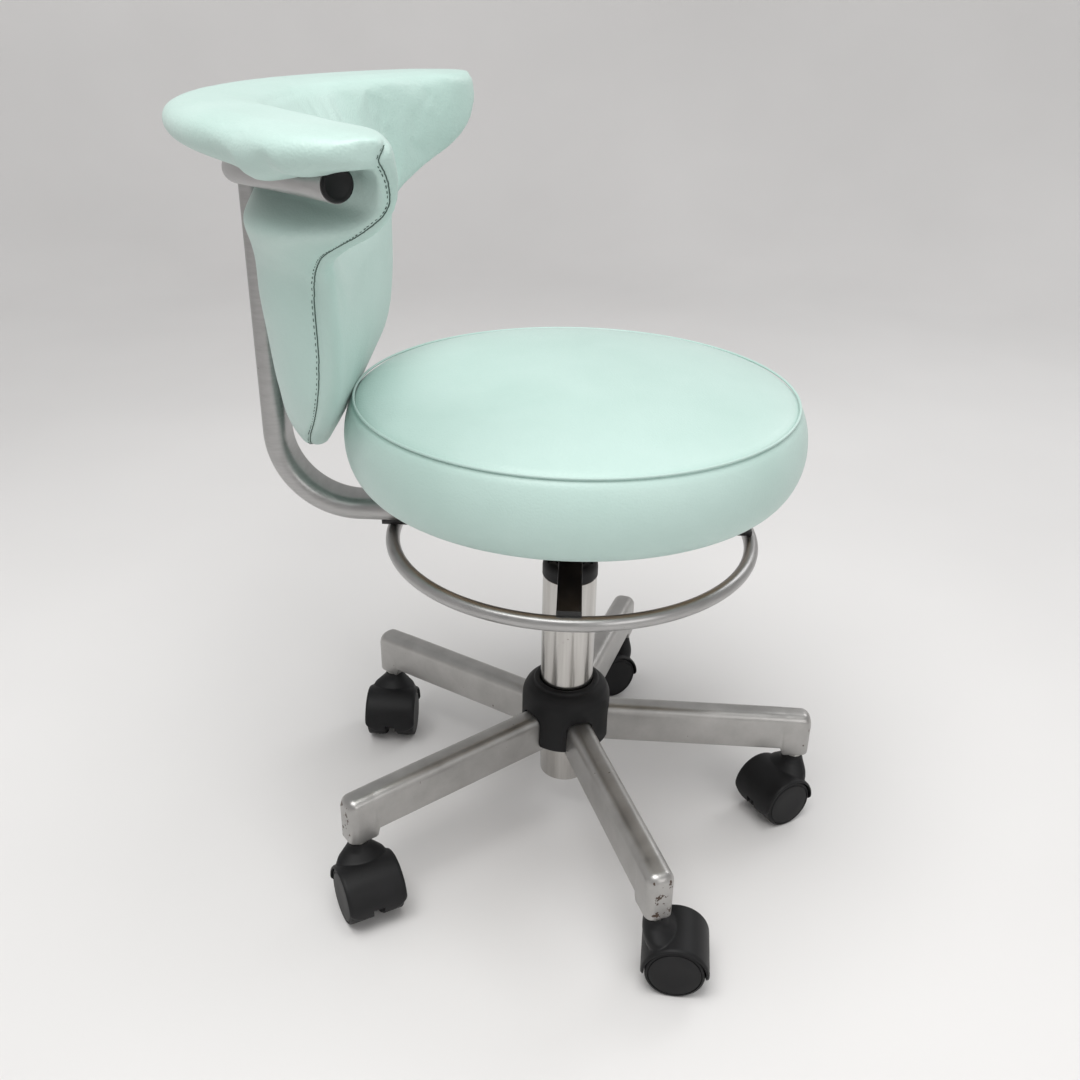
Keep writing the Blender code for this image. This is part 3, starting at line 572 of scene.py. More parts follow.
def arm_shape(name, start, tip):
    """One base arm along +X: a tapering bar whose outer end is rounded like a thumb."""
    top_in, top_out = 0.1245, 0.1145
    low_in, low_out = 0.0870, 0.0770
    boot_low = 0.0702
    boot_start = tip - 0.028
    rings = []
    stations = [start + (boot_start - start) * k / 8 for k in range(9)]
    for r in stations:
        t = (r - start) / (tip - start)
        rings.append(arm_ring(r, ARM_HALF, top_in + (top_out - top_in) * t,
                              low_in + (low_out - low_in) * t, ARM_EDGE))
    for r, low in ((boot_start + 0.0022, boot_low + 0.0008), (boot_start + 0.004, boot_low)):
        rings.append(arm_ring(r, ARM_HALF, top_out + 0.001, low, ARM_EDGE))
    nose = 0.0085
    for k in range(10):
        a = math.pi / 2 * k / 9
        r = tip - nose + nose * math.sin(a)
        pull = nose * (1 - math.cos(a))
        top = top_out - pull * 0.85
        rings.append(arm_ring(r, ARM_HALF - pull * 0.72, top, boot_low + pull * 0.10, ARM_EDGE))
    return skinned(name, rings)


def make_arms():
    start = half_width(*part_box("base_hub")) + 0.0005
    for k in range(1, ARM_COUNT + 1):
        stem = stem_offset(k)
        arm = arm_shape(f"arm_shell_{k}", start, stem.length + 0.0118)
        arm.data.transform(Matrix.Rotation(math.atan2(stem.y, stem.x), 4, "Z"))
        shift(arm, COLUMN)
        place(arm, "base", "arm_steel", [f"base_arm_{k}"], slot="satin_steel")


def make_hub_cover():
    """Domed cover: a ball-like shoulder up to the column and an arched window over each arm."""
    low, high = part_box("hub_cover")
    top, bottom = high.z, low.z
    outer = half_width(low, high)
    wall = 0.003
    neck = TUBE_HIGH.x - COLUMN.x + 0.0003
    dome = [(neck, top), (0.0305, top), (0.0312, top - 0.0030), (0.0345, top - 0.0042),
            (0.0390, top - 0.0085), (outer - 0.0006, top - 0.0150), (outer, top - 0.0220),
            (outer, bottom), (outer - wall, bottom), (outer - wall, top - 0.0200),
            (0.0355, top - 0.0095), (neck, top - 0.0060)]
    cover = turned("hub_cover_shell", softened(dome, 0.0022, closed=True), 128)
    windows = []
    for k in range(1, ARM_COUNT + 1):
        stem = stem_offset(k)
        rings = [arm_ring(r, ARM_HALF + 0.0008, 0.1256, 0.080, 0.0095) for r in (0.030, 0.050)]
        window = skinned("window", rings)
        window.data.transform(Matrix.Rotation(math.atan2(stem.y, stem.x), 4, "Z"))
        windows.append(window)
    boolean(cover, windows)
    creased(cover, 35)
    shift(cover, COLUMN)
    place(cover, "base", "cover_plastic", ["hub_cover"], slot="black_plastic")


# ---- gas lift ---------------------------------------------------------------------------------
def make_column():
    top, bottom = TUBE_HIGH.z, TUBE_LOW.z
    radius = half_width(TUBE_LOW, TUBE_HIGH)
    outline = softened([(0.0225, top), (radius, top), (radius, 0.135), (radius - 0.0015, bottom),
                        (0.0046, bottom), (0.0046, bottom + 0.004), (0.0215, bottom + 0.004),
                        (0.0225, 0.135)], 0.0009, closed=True)
    tube = shift(turned("column_tube", outline, 128), COLUMN)
    place(tube, "base", "chrome", ["outer_tube"])

    low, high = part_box("guide_bush")
    collar = half_width(low, high)
    rim = top + 0.0003
    bore = 0.0143
    outline = [(bore, high.z - 0.0035), (bore + 0.0012, high.z - 0.0008), (bore + 0.0025, high.z)]
    outline += arc((collar - 0.006, high.z - 0.0075), (0.006, 0.0075), 90, 0, 8)
    outline += [(collar, rim + 0.0006), (collar - 0.0006, rim), (0.0222, rim), (0.0222, low.z),
                (bore, low.z)]
    bush = turned("bush_collar", outline, 96)
    notches = []
    for k in range(8):
        a = TAU * (k + 0.5) / 8
        pocket = turned("pocket", [(0, high.z - 0.0030), (0.0026, high.z - 0.0030),
                                   (0.0026, high.z + 0.004), (0, high.z + 0.004)], 24)
        notches.append(shift(pocket, (0.0198 * math.cos(a), 0.0198 * math.sin(a), 0)))
    boolean(bush, notches)
    creased(bush, 35)
    shift(bush, COLUMN)
    place(bush, "base", "black_plastic", ["guide_bush"])

    low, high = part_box("gas_cylinder")
    radius = half_width(low, high)
    outline = softened([(0, low.z), (radius, low.z), (radius, high.z), (0, high.z)], 0.001)
    cylinder = shift(turned("lift_cylinder", outline, 96), COLUMN)
    place(cylinder, "seat", "chrome", ["gas_cylinder"])


# ---- ring lever -------------------------------------------------------------------------------
def make_ring():
    low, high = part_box("height_ring")
    middle = middle_of(low, high)
    tube = 0.0063
    radius = half_width(low, high) - tube
    hoop = arc((radius, middle), (tube, tube), 0, 360, 24)[:-1]
    ring = shift(turned("ring_tube", hoop, 200), COLUMN)
    place(ring, "ring", "satin_steel", ["height_ring"])

    low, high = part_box("lever_cross")
    half = 0.0098
    thick = high.z - low.z
    reach = {0: radius, 90: high.y - COLUMN.y, 180: radius, 270: radius}
    straps = []
    for angle, length in reach.items():
        rings = []
        stations = [0.024, 0.05, 0.09, 0.13, length - 0.0004, length]
        for r in stations:
            cut = 0.0004 if r < length else 0.0008
            loop = []
            for sx, sz in ((1, -1), (1, 1), (-1, 1), (-1, -1)):
                for k in range(3):
                    a = math.atan2(sz, sx) + (k - 1) * math.pi / 4
                    loop.append((r, sx * (half - cut) + cut * math.cos(a) * 1.2,
                                 middle_of(low, high) + sz * (thick / 2 - cut) + cut * math.sin(a)))
            rings.append(loop)
        strap = skinned("strap", rings, sharp=25)
        strap.data.transform(Matrix.Rotation(math.radians(angle), 4, "Z"))
        straps.append(strap)
    plate = turned("plate", softened([(0.0175, high.z), (0.027, high.z), (0.027, low.z), (0.0175, low.z)],
                                     0.0005, closed=True), 64)
    cross = boolean(plate, straps, "UNION")
    cross.name = "cross_straps"
    creased(cross, 30)
    shift(cross, COLUMN)
    place(cross, "ring", "black_steel", ["lever_cross"])


# ---- casters ----------------------------------------------------------------------------------
WHEEL_RADIUS = 0.025
TRAIL = 0.020


def hood_shape():
    """Hood over both treads with pointed lower ends, a flared neck and a notch behind."""
    outer, inner, half = 0.0285, 0.0259, 0.0270
    rings = []
    steps = 40
    for k in range(steps + 1):
        a = math.radians(-16 + 212 * k / steps)
        ends = min(k, steps - k) / steps
        width = half - 0.010 * max(0.0, 1 - ends / 0.10) ** 2
        shoulder = 0.0030
        loop = [(inner, -width), (outer - shoulder, -width), (outer - 0.0008, -width + 0.0008),
                (outer, -width + shoulder), (outer, width - shoulder), (outer - 0.0008, width - 0.0008),
                (outer - shoulder, width), (inner, width)]
        rings.append([(TRAIL + r * math.cos(a), w, WHEEL_RADIUS + r * math.sin(a)) for r, w in loop])
    shell = skinned("shell", rings)
    web = turned("web", [(0, -0.0047), (0.0265, -0.0047), (0.0265, 0.0047), (0, 0.0047)], 64)
    web.data.transform(Matrix.Translation((TRAIL, 0, WHEEL_RADIUS)) @ Matrix.Rotation(math.pi / 2, 4, "X"))
    neck_rings = []
    levels = [(0.0662, -0.0090, 0.0090, 0.0088), (0.0630, -0.0092, 0.0100, 0.0096),
              (0.0595, -0.0094, 0.0122, 0.0125), (0.0560, -0.0095, 0.0160, 0.0170),
              (0.0525, -0.0094, 0.0200, 0.0215), (0.0480, -0.0088, 0.0230, 0.0240),
              (0.0440, -0.0075, 0.0240, 0.0245)]
    for z, front, back, side in levels:
        oval = arc(((front + back) / 2, 0), ((back - front) / 2, side), 0, 360, 32)[:-1]
        neck_rings.append([(x, y, z) for x, y in oval])
    neck = skinned("neck", neck_rings)
    wells = []
    for side in (-1, 1):
        well = turned("well", [(0, 0.0040), (inner, 0.0040), (inner, 0.030), (0, 0.030)], 64)
        well.data.transform(Matrix.Translation((TRAIL, 0, WHEEL_RADIUS))
                            @ Matrix.Rotation(-side * math.pi / 2, 4, "X"))
        wells.append(well)
    boolean(neck, wells)
    low_cut = box_object("low", (-0.02, -0.04, -0.01), (0.06, 0.04, 0.0165))
    hood = merged("hood", [shell, web, neck])
    fused(hood, 0.0008, smooth=3)
    notch = box_object("notch", (TRAIL + 0.020, -0.0050, 0.010), (TRAIL + 0.034, 0.0050, 0.0245))
    socket = turned("socket", [(0, 0.0475), (0.0058, 0.0475), (0.0058, 0.09), (0, 0.09)], 32)
    boolean(hood, [low_cut, notch, socket])
    thin = hood.modifiers.new("thin", "DECIMATE")
    thin.ratio = 0.30
    applied(hood)
    creased(hood, 50)
    mesh = hood.data
    bpy.data.objects.remove(hood, do_unlink=True)
    return mesh


def wheel_shape():
    """One wheel with its axle along Y: rounded tread, flush side disc with a fine ring groove."""
    outer, inner = 0.0252, 0.0052
    r = WHEEL_RADIUS
    outline = [(0, outer - 0.0006), (0.012, outer - 0.0003), (0.0205, outer), (0.0216, outer - 0.0002),
               (0.0219, outer - 0.0010), (0.0223, outer - 0.0010), (0.0226, outer - 0.0001),
               (0.0234, outer - 0.0003)]
    outline += arc((r - 0.0016, outer - 0.0020), (0.0016, 0.0016), 90, 0, 5)
    outline += [(r, inner + 0.002), (r - 0.001, inner + 0.0005), (r - 0.002, inner), (0.0033, inner),
                (0.0033, 0.022), (0, 0.022)]
    wheel = turned("wheel", outline, 96)
    wheel.data.transform(Matrix.Rotation(-math.pi / 2, 4, "X"))
    mesh = wheel.data
    bpy.data.objects.remove(wheel, do_unlink=True)
    return mesh


def from_mesh(name, mesh, matrix):
    copy = mesh.copy()
    copy.transform(matrix)
    return linked(name, copy)


def make_casters():
    hood, wheel = hood_shape(), wheel_shape()
    joints = {j["name"]: j for j in frame["joints"]}
    for k in range(1, ARM_COUNT + 1):
        stem = Vector(joints[f"caster_swivel_{k}"]["pos_m"])
        axle = Vector(joints[f"wheel_spin_left_{k}"]["pos_m"])
        trail = math.atan2(axle.y - stem.y, axle.x - stem.x)
        stand = Matrix.Translation((stem.x, stem.y, 0)) @ Matrix.Rotation(trail, 4, "Z")
        hub = Matrix.Translation(axle) @ Matrix.Rotation(trail, 4, "Z")
        shell = from_mesh(f"hood_shell_{k}", hood, stand)
        place(shell, f"caster_{k}", "black_plastic", [f"caster_hood_{k}"])
        left = from_mesh(f"twin_left_{k}", wheel, hub)
        place(left, f"left_wheel_{k}", "black_plastic", [f"wheel_left_{k}"])
        right = from_mesh(f"twin_right_{k}", wheel, hub @ Matrix.Rotation(math.pi, 4, "Z"))
        place(right, f"right_wheel_{k}", "black_plastic", [f"wheel_right_{k}"])


# ---- seat cushion -----------------------------------------------------------------------------
SEAM_RADIUS = 0.1863
SEAM_HEIGHT = 0.441
PIPING_RADIUS = 0.0011
WIDEST_RADIUS = 0.1985
BOARD_TOP = 0.3795          # ceiling of the recess that the seat board fills


def cushion_outline(low, high):
    """(radius, height, hold) down the cushion: crown, seam, bulging side, lower edge, recess."""
    full = half_width(low, high)
    points = []
    for k in range(22):
        r = SEAM_RADIUS * k / 21
        t = r / SEAM_RADIUS
        fall = 0.017 * (0.45 * t ** 2 + 0.55 * t ** 7)
        points.append((r, high.z - 0.0006 - fall, 0.0))
    points[-1] = (SEAM_RADIUS, SEAM_HEIGHT, 0.8)
    side = [(0.1892, 0.4365), (0.1920, 0.4300), (0.1945, 0.4220), (0.1958, 0.4130), (0.1960, 0.4040),
            (0.1948, 0.3955), (0.1922, 0.3870), (0.1882, 0.3795), (0.1830, 0.3740), (0.1780, 0.3712)]
    for r, z in side:
        points.append((min(r, full), z, 0.0))
    points[-2] = (*points[-2][:2], 0.6)
    points[-1] = (*points[-1][:2], 1.0)
    recess = 0.1654
    points += [(0.1725, low.z + 0.0003, 1.0), (recess, low.z + 0.0003, 1.0), (recess, BOARD_TOP, 1.0),
               (recess * 0.5, BOARD_TOP, 1.0), (0, BOARD_TOP, 1.0)]
    return points


def make_cushion():
    low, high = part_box("seat_cushion")
    outline = cushion_outline(low, high)
    sides = 120
    cushion = turned("seat_upholstery", [(r, z) for r, z, _ in outline], sides, sharp=0)
    holds = point_tree([(r, 0, z) for r, z, _ in outline])
    group = cushion.vertex_groups.new(name="hold")
    for v in cushion.data.vertices:
        flat = (math.hypot(v.co.x, v.co.y), 0, v.co.z)
        group.add([v.index], outline[holds.find(flat)[1]][2], "REPLACE")
    inflate(cushion, "hold", pressure=4.0, frames=20, cap=0.006)
    tidy_bulge(cushion, high)
    refine = cushion.modifiers.new("refine", "SUBSURF")
    refine.levels = 1
    refine.render_levels = 1
    applied(cushion)
    soften_seam(cushion)
    cushion.data.shade_smooth()
    shift(cushion, COLUMN)
    place(cushion, "seat", "vinyl", ["seat_cushion"])
    make_piping()


def inflate(obj, group, pressure, frames, cap):
    """Blow the padding out with Cloth pressure, then limit how far each point has moved."""
    rest = [v.co.copy() for v in obj.data.vertices]
    cloth = obj.modifiers.new("cloth", "CLOTH")
    settings = cloth.settings
    settings.quality = 6
    settings.mass = 0.35
    settings.tension_stiffness = 25
    settings.compression_stiffness = 25
    settings.shear_stiffness = 12
    settings.bending_stiffness = 3
    settings.use_pressure = True
    settings.uniform_pressure_force = pressure
    settings.effector_weights.gravity = 0.0
    settings.vertex_group_mass = group
    cloth.collision_settings.use_collision = False
    cloth.point_cache.frame_start = 1
    cloth.point_cache.frame_end = frames
    scene = bpy.context.scene
    for f in range(1, frames + 1):
        scene.frame_set(f)
    applied(obj)
    for v, start in zip(obj.data.vertices, rest):
        move = v.co - start
        if move.length > cap:
            v.co = start + move.normalized() * cap
    scene.frame_set(1)


def tidy_bulge(obj, high):
    """Keep the blown cushion within its height and its widest radius."""
    for v in obj.data.vertices:
        v.co.z = min(v.co.z, high.z + 0.0015)
        reach = math.hypot(v.co.x, v.co.y)
        if reach > WIDEST_RADIUS:
            v.co.x *= WIDEST_RADIUS / reach
            v.co.y *= WIDEST_RADIUS / reach


def soften_seam(obj):
    """Draw the vinyl in along the seam round the top edge."""
    for v in obj.data.vertices:
        reach = math.hypot(v.co.x, v.co.y)
        if reach < 0.15 or v.co.z < 0.40:
            continue
        gap = math.hypot(reach - SEAM_RADIUS, v.co.z - SEAM_HEIGHT)
        pull = 0.0009 * math.exp(-(gap / 0.0035) ** 2)
        v.co -= Vector((v.co.x / reach, v.co.y / reach, 0.8)) * pull


def make_piping():
    """The welted seam round the top edge of the seat."""
    hoop = arc((SEAM_RADIUS, SEAM_HEIGHT + 0.0002), (PIPING_RADIUS, PIPING_RADIUS), 0, 360, 10)[:-1]
    piping = turned("seat_piping", hoop, 240, sharp=0)
    shift(piping, COLUMN)
    place(piping, "seat", "vinyl")


# ---- back support -----------------------------------------------------------------------------
def make_bar():
    """Flat-oval bar: level under the seat, bent up behind it, upright to the curved tube."""
    low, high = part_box("back_support_bar")
    wide = half_width(low, high)
    half_depth = 0.010
    level = low.z + half_depth
    back = high.y - half_depth
    bend = 0.070
    path = [(low.y + 0.0005, level, 0), (low.y + 0.05, level, 0)]
    steps = 36
    for k in range(steps + 1):
        a = math.pi / 2 * k / steps
        path.append((back - bend + bend * math.sin(a), level + bend - bend * math.cos(a), a))
    path += [(back, 0.48, math.pi / 2), (back, high.z - 0.0002, math.pi / 2)]
    section = []
    for side in (1, -1):
        section += arc((side * (wide - half_depth), 0), (half_depth, half_depth),
                       90 * side, 90 * side - 180, 12)
    rings = []
    for y, z, a in path:
        rings.append([(x + COLUMN.x, y - d * math.sin(a), z + d * math.cos(a)) for x, d in section])
    bar = skinned("back_bar_tube", rings)
    place(bar, "seat", "satin_steel", ["back_support_bar", "back_bolt_1", "back_bolt_2"])
    return back


ARC_TUBE = 0.011
ARC_WALL = 0.0018
ARC_END = 0.2349
ARC_RADIUS = 0.273
ARC_SWING = math.radians(41)
ARC_RISE = [(0.0, 0.0), (0.06, 0.0050), (0.12, 0.0135), (0.16, 0.0180), (0.20, 0.0210), (0.235, 0.0228)]


def arc_point(x, back, level):
    """Centre line of the curved tube under the crescent."""
    side = abs(x)
    turn = ARC_RADIUS * math.sin(ARC_SWING)
    if side <= turn:
        y = back - (ARC_RADIUS - math.sqrt(ARC_RADIUS ** 2 - side ** 2))
    else:
        y = back - ARC_RADIUS * (1 - math.cos(ARC_SWING)) - (side - turn) * math.tan(ARC_SWING)
    return Vector((x + COLUMN.x, y, level + curve_value(ARC_RISE, side)))


def make_arc_tube(back):
    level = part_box("back_support_bar")[1].z + ARC_TUBE + 0.0003
    end = ARC_END
    path = [arc_point(-end + 2 * end * k / 80, back, level) for k in range(81)]
    outer = tube_rings(path, ARC_TUBE, 32)
    inner = tube_rings(path, ARC_TUBE - ARC_WALL, 32)
    tube = skinned("crescent_tube", outer + inner[::-1], closed=True)
    place(tube, "seat", "satin_steel", ["back_arc_tube"])
    for side, node in ((-1, "tube_plug_left"), (1, "tube_plug_right")):
        tip = arc_point(side * end, back, level)
        ahead = (tip - arc_point(side * (end - 0.004), back, level)).normalized()
        bore = ARC_TUBE - ARC_WALL
        outline = [(0, 0.0016), (0.0072, 0.0016), (0.0080, 0.0022)]
        outline += arc((ARC_TUBE - 0.0022, 0.0006), (0.0018, 0.0020), 90, 0, 6)
        outline += [(bore - 0.0004, 0.0004), (bore - 0.0006, -0.012), (0, -0.012)]
        plug = turned(f"end_cap_{'left' if side < 0 else 'right'}", outline, 48)
        turn = Vector((0, 0, 1)).rotation_difference(ahead).to_matrix().to_4x4()
        plug.data.transform(Matrix.Translation(tip) @ turn)
        place(plug, "seat", "black_plastic", [node])


# ---- backrest ---------------------------------------------------------------------------------
# Distances below are from the column's axis: (half width, depth) and (height, depth) pairs.
CREST_TOP = 0.672
INNER_EDGE = [(-0.040, 0.234), (0.0, 0.238), (0.040, 0.234), (0.060, 0.228), (0.085, 0.2165),
              (0.100, 0.2050), (0.126, 0.1870), (0.146, 0.1695), (0.174, 0.1500), (0.189, 0.1370),
              (0.199, 0.1265), (0.213, 0.1180), (0.231, 0.1120), (0.249, 0.1080), (0.262, 0.1070)]
OUTER_EDGE = [(-0.050, 0.305), (0.0, 0.310), (0.050, 0.305), (0.100, 0.289), (0.150, 0.262),
              (0.200, 0.222), (0.250, 0.175), (0.270, 0.140)]
FRONT_LINE = [(0.386, 0.2180), (0.390, 0.2130), (0.400, 0.2080), (0.420, 0.1988), (0.440, 0.1897),
              (0.460, 0.1806), (0.480, 0.1761), (0.500, 0.1740), (0.520, 0.1731), (0.560, 0.1725)]
LUMBAR_TOP = 0.560
FORWARD = [(0.0, 0.0), (0.060, 0.0005), (0.120, 0.0020), (0.135, 0.0045), (0.150, 0.0120),
           (0.172, 0.0245), (0.197, 0.0410), (0.210, 0.0500), (0.219, 0.0580), (0.230, 0.0650),
           (0.250, 0.0665)]
LEAN = [(LUMBAR_TOP, 0.0), (0.575, 0.04), (0.600, 0.24), (0.640, 0.66), (CREST_TOP, 1.0)]
BACK_LINE = [(0.386, 0.2200), (0.390, 0.2235), (0.400, 0.2300), (0.410, 0.2350), (0.420, 0.2385),
             (0.430, 0.2405), (0.445, 0.2425), (0.460, 0.2440), (0.480, 0.2460), (0.500, 0.2470),
             (0.606, 0.2470)]
HALF_WIDTH = [(0.386, 0.004), (0.390, 0.014), (0.394, 0.026), (0.400, 0.040), (0.410, 0.056),
              (0.420, 0.071), (0.430, 0.086), (0.440, 0.099), (0.450, 0.109), (0.460, 0.1170),
              (0.470, 0.1225), (0.480, 0.1252), (0.500, 0.1283), (0.520, 0.1305), (0.550, 0.1320),
              (0.560, 0.1335), (0.5665, 0.137), (0.5785, 0.152), (0.589, 0.173), (0.6014, 0.198),
              (0.6077, 0.210), (0.6168, 0.220), (0.6277, 0.230), (0.638, 0.239), (0.648, 0.2465),
              (0.656, 0.2510), (CREST_TOP, 0.2525)]
BACK_POWER = [(0.460, 2.0), (0.500, 2.3), (0.540, 3.1)]
EDGE_ROLL = 0.013
# Lower edge of the crescent's roll towards its tips, with the tucks where the vinyl is gathered.
UNDERSIDE = [(0.0, 0.6462), (0.70, 0.6462), (0.77, 0.6445), (0.805, 0.6412), (0.850, 0.6440),
             (0.900, 0.6500), (0.922, 0.6475), (0.950, 0.6512), (0.980, 0.6535), (1.0, 0.6555)]


def front_face(x, z):
    """Sitter's side of the backrest: flat over the tongue, leaning back to the crescent above it."""
    side = abs(x)
    low = curve_value(FRONT_LINE, min(z, LUMBAR_TOP)) - curve_value(FORWARD, side)
    y = low + (curve_value(INNER_EDGE, side) - low) * curve_value(LEAN, max(z, LUMBAR_TOP))
    belly = smooth_step((side - 0.14) / 0.06) * smooth_step((z - 0.60) / 0.02)
    return y - 0.0040 * belly * math.sin(math.pi * min(max((z - 0.60) / (CREST_TOP - 0.60), 0), 1))


def pad_ring(z, back, steps=44):
    """One level outline, round the front, the rolled side edges and the full back."""
    half = curve_value(HALF_WIDTH, z)
    roll = min(EDGE_ROLL, half * 0.9)
    power = curve_value(BACK_POWER, z)
    front, rear = [], []
    for k in range(steps + 1):
        s = math.sin(math.pi / 2 * (1 - 2 * k / steps))
        x = half * s
        turn = max(abs(x) - (half - roll), 0) / roll
        y = front_face(x, z) + roll * (1 - math.sqrt(max(1 - turn * turn, 0)))
        seam = front_face(half, z) + roll
        clear = arc_point(x, back, 0).y - 0.0135
        above = smooth_step((z - 0.596) / 0.030)
        deep = curve_value(BACK_LINE, z) * (1 - above) + clear * above
        fullness = math.sqrt(max(1 - abs(s) ** power, 0))
        front.append((x, y, z))
        rear.append((x, max(seam + (deep - seam) * fullness, y + 0.001 * (1 - s * s)), z))
    return front + rear[-2:0:-1]


def pad_shape(back):
    levels = [0.3862, 0.388, 0.391, 0.395, 0.400]
    while levels[-1] < 0.662:
        levels.append(levels[-1] + 0.005)
    return skinned("pad", [pad_ring(z, back) for z in levels])


def crest_ring(s):
    """An upright section of the crescent; s runs from -1 at one tip to 1 at the other."""
    side = 1 if s >= 0 else -1
    a = abs(s)
    x_in, x_out = 0.2535 * a, 0.2695 * a
    start = Vector((side * x_in, curve_value(INNER_EDGE, x_in), 0))
    end = Vector((side * x_out, curve_value(OUTER_EDGE, x_out), 0))
    close = max((a - 0.93) / 0.07, 0)
    squash = 0.30 + 0.70 * math.sqrt(max(1 - close ** 2.5, 0))
    anchor = start.lerp(end, 0.30)
    start = anchor + (start - anchor) * squash
    end = anchor + (end - anchor) * squash
    across = end - start
    width = across.length
    across = across / width
    low_out = curve_value(UNDERSIDE, a)
    low_in = 0.6450 + 0.16 * x_in ** 2
    top = CREST_TOP - 0.0004
    mid = (top + low_out) / 2
    half = (top - low_out) / 2
    roll = min(0.0170, width * 0.45)
    fold = min(0.0075, width * 0.2)
    loop = [(0.0, low_in), (0.0, (low_in + top) / 2)]
    loop += arc((fold, top - fold), (-fold, fold), 0, 90, 5)
    for k in range(1, 6):
        loop.append((fold + (width - roll - fold) * k / 6, top))
    loop += arc((width - roll, mid), (roll, half), 90, -90, 14)
    for k in range(1, 5):
        t = k / 5
        loop.append(((width - roll) * (1 - t), low_out + (low_in - low_out) * smooth_step(t * 1.4)))
    return [start + across * d + Vector((0, 0, z)) for d, z in loop]


def crest_shape():
    values = [math.sin(math.pi / 2 * (-1 + 2 * k / 120)) for k in range(121)]
    return skinned("crest", [crest_ring(s) for s in values])


# The sewn edge between the front panel and the panel behind it, from a wing's end to the tongue's
# foot, as (across, depth, height) from the column's axis on the +X side.
SEAM_ROUTE = [(0.248, 0.107, 0.669), (0.260, 0.111, 0.658), (0.249, 0.109, 0.648), (0.238, 0.110, 0.637),
              (0.228, 0.114, 0.626), (0.210, 0.136, 0.608), (0.172, 0.164, 0.589), (0.150, 0.176, 0.578),
              (0.136, 0.183, 0.565), (0.132, 0.186, 0.550), (0.128, 0.187, 0.500), (0.117, 0.194, 0.460),
              (0.071, 0.212, 0.420), (0.040, 0.220, 0.400), (0.0, 0.2235, 0.387)]


# Radius of the dark cord on the backrest seam, which is painted shade for the seam's crease.
SEAM_SHADE_CORD = 0.00042
STITCH_PITCH = 0.0046


def seam_route(side, step):
    """The sewn edge on one side, -1 or 1, as closely spaced points."""
    return densified([(side * x, y, z) for x, y, z in SEAM_ROUTE], step)


def surface_tree(obj):
    return BVHTree.FromPolygons([v.co for v in obj.data.vertices],
                                [tuple(p.vertices) for p in obj.data.polygons])


def on_surface(tree, points):
    """Each point moved to the nearest spot on the surface, with the normal there."""
    out = []
    for p in points:
        spot, normal, _, _ = tree.find_nearest(p)
        out.append((spot, normal))
    return out


def make_backrest(rail):
    back = boolean(pad_shape(rail - COLUMN.y), [crest_shape()], "UNION")
    back.name = "back_upholstery"
    fused(back, 0.0026, smooth=5)
    puff(back)
    refine = back.modifiers.new("refine", "SUBSURF")
    refine.levels = 1
    refine.render_levels = 1
    relax = back.modifiers.new("relax", "SMOOTH")
    relax.factor = 0.5
    relax.iterations = 3
    applied(back)
    routes = []
    for side in (-1, 1):
        spots = [spot for spot, _ in on_surface(surface_tree(back), seam_route(side, 0.0015))]
        routes.append(smoothed(spots, 24))
    groove(back, routes)
    back.data.shade_smooth()
    tree = surface_tree(back)
    for side, route in zip(("left", "right"), routes):
        seam_pieces(side, on_surface(tree, route))
    shift(back, COLUMN)
    place(back, "seat", "vinyl_back", ["back_pad", "crest_pad"], slot="vinyl")


def smoothed(points, rounds):
    for _ in range(rounds):
        points = [points[0]] + [(points[i - 1] + points[i] * 2 + points[i + 1]) / 4
                                for i in range(1, len(points) - 1)] + [points[-1]]
    return points


def puff(obj):
    """A light Cloth inflation, so the panels crown between their seams."""
    group = obj.vertex_groups.new(name="hold")
    tree = point_tree(seam_route(-1, 0.004) + seam_route(1, 0.004))
    for v in obj.data.vertices:
        gap = tree.find(v.co)[2]
        group.add([v.index], max(0.0, 1 - gap / 0.012), "REPLACE")
    inflate(obj, "hold", pressure=3.0, frames=12, cap=0.0022)


def groove(obj, routes):
    """Sink the vinyl along the sewn edge."""
    tree = point_tree([p for route in routes for p in route])
    normals = [v.normal.copy() for v in obj.data.vertices]
    for v, normal in zip(obj.data.vertices, normals):
        gap = tree.find(v.co)[2]
        if gap < 0.012:
            v.co -= normal * 0.0013 * math.exp(-(gap / 0.0028) ** 2)


def seam_pieces(side, spots):
    """A dark cord along the seam, which is painted shade for the crease where the seam closes, and the
    thread's stitches beside it.
    """
    path = [p + n * 0.0001 for p, n in spots]
    # A dark thread-coloured cord laid on the seam: painted shade standing in for the shadow in the seam's
    # crease.
    cord = skinned(f"back_seam_shade_{side}", tube_rings(path, SEAM_SHADE_CORD, 8), sharp=0)
    shift(cord, COLUMN)
    place(cord, "seat", "stitch", slot="vinyl")
    points, faces = [], []
    travelled, index = 0.0, 0
    for i in range(1, len(path) - 1):
        travelled += (path[i] - path[i - 1]).length
        if travelled < STITCH_PITCH * (index + 1):
            continue
        index += 1
        along = (path[i + 1] - path[i - 1]).normalized()
        normal = spots[i][1]
        beside = along.cross(normal).normalized()
        middle = path[i] + beside * (0.0016 if side == "left" else -0.0016) + normal * 0.0003
        add_stitch(points, faces, middle, along, beside, normal)
    # The stitch beads take the darkened thread colour, which is partly painted shade for their holes.
    stitches = mesh_object(f"back_stitches_{side}", points, faces, 0)
    shift(stitches, COLUMN)
    place(stitches, "seat", "stitch", slot="vinyl")


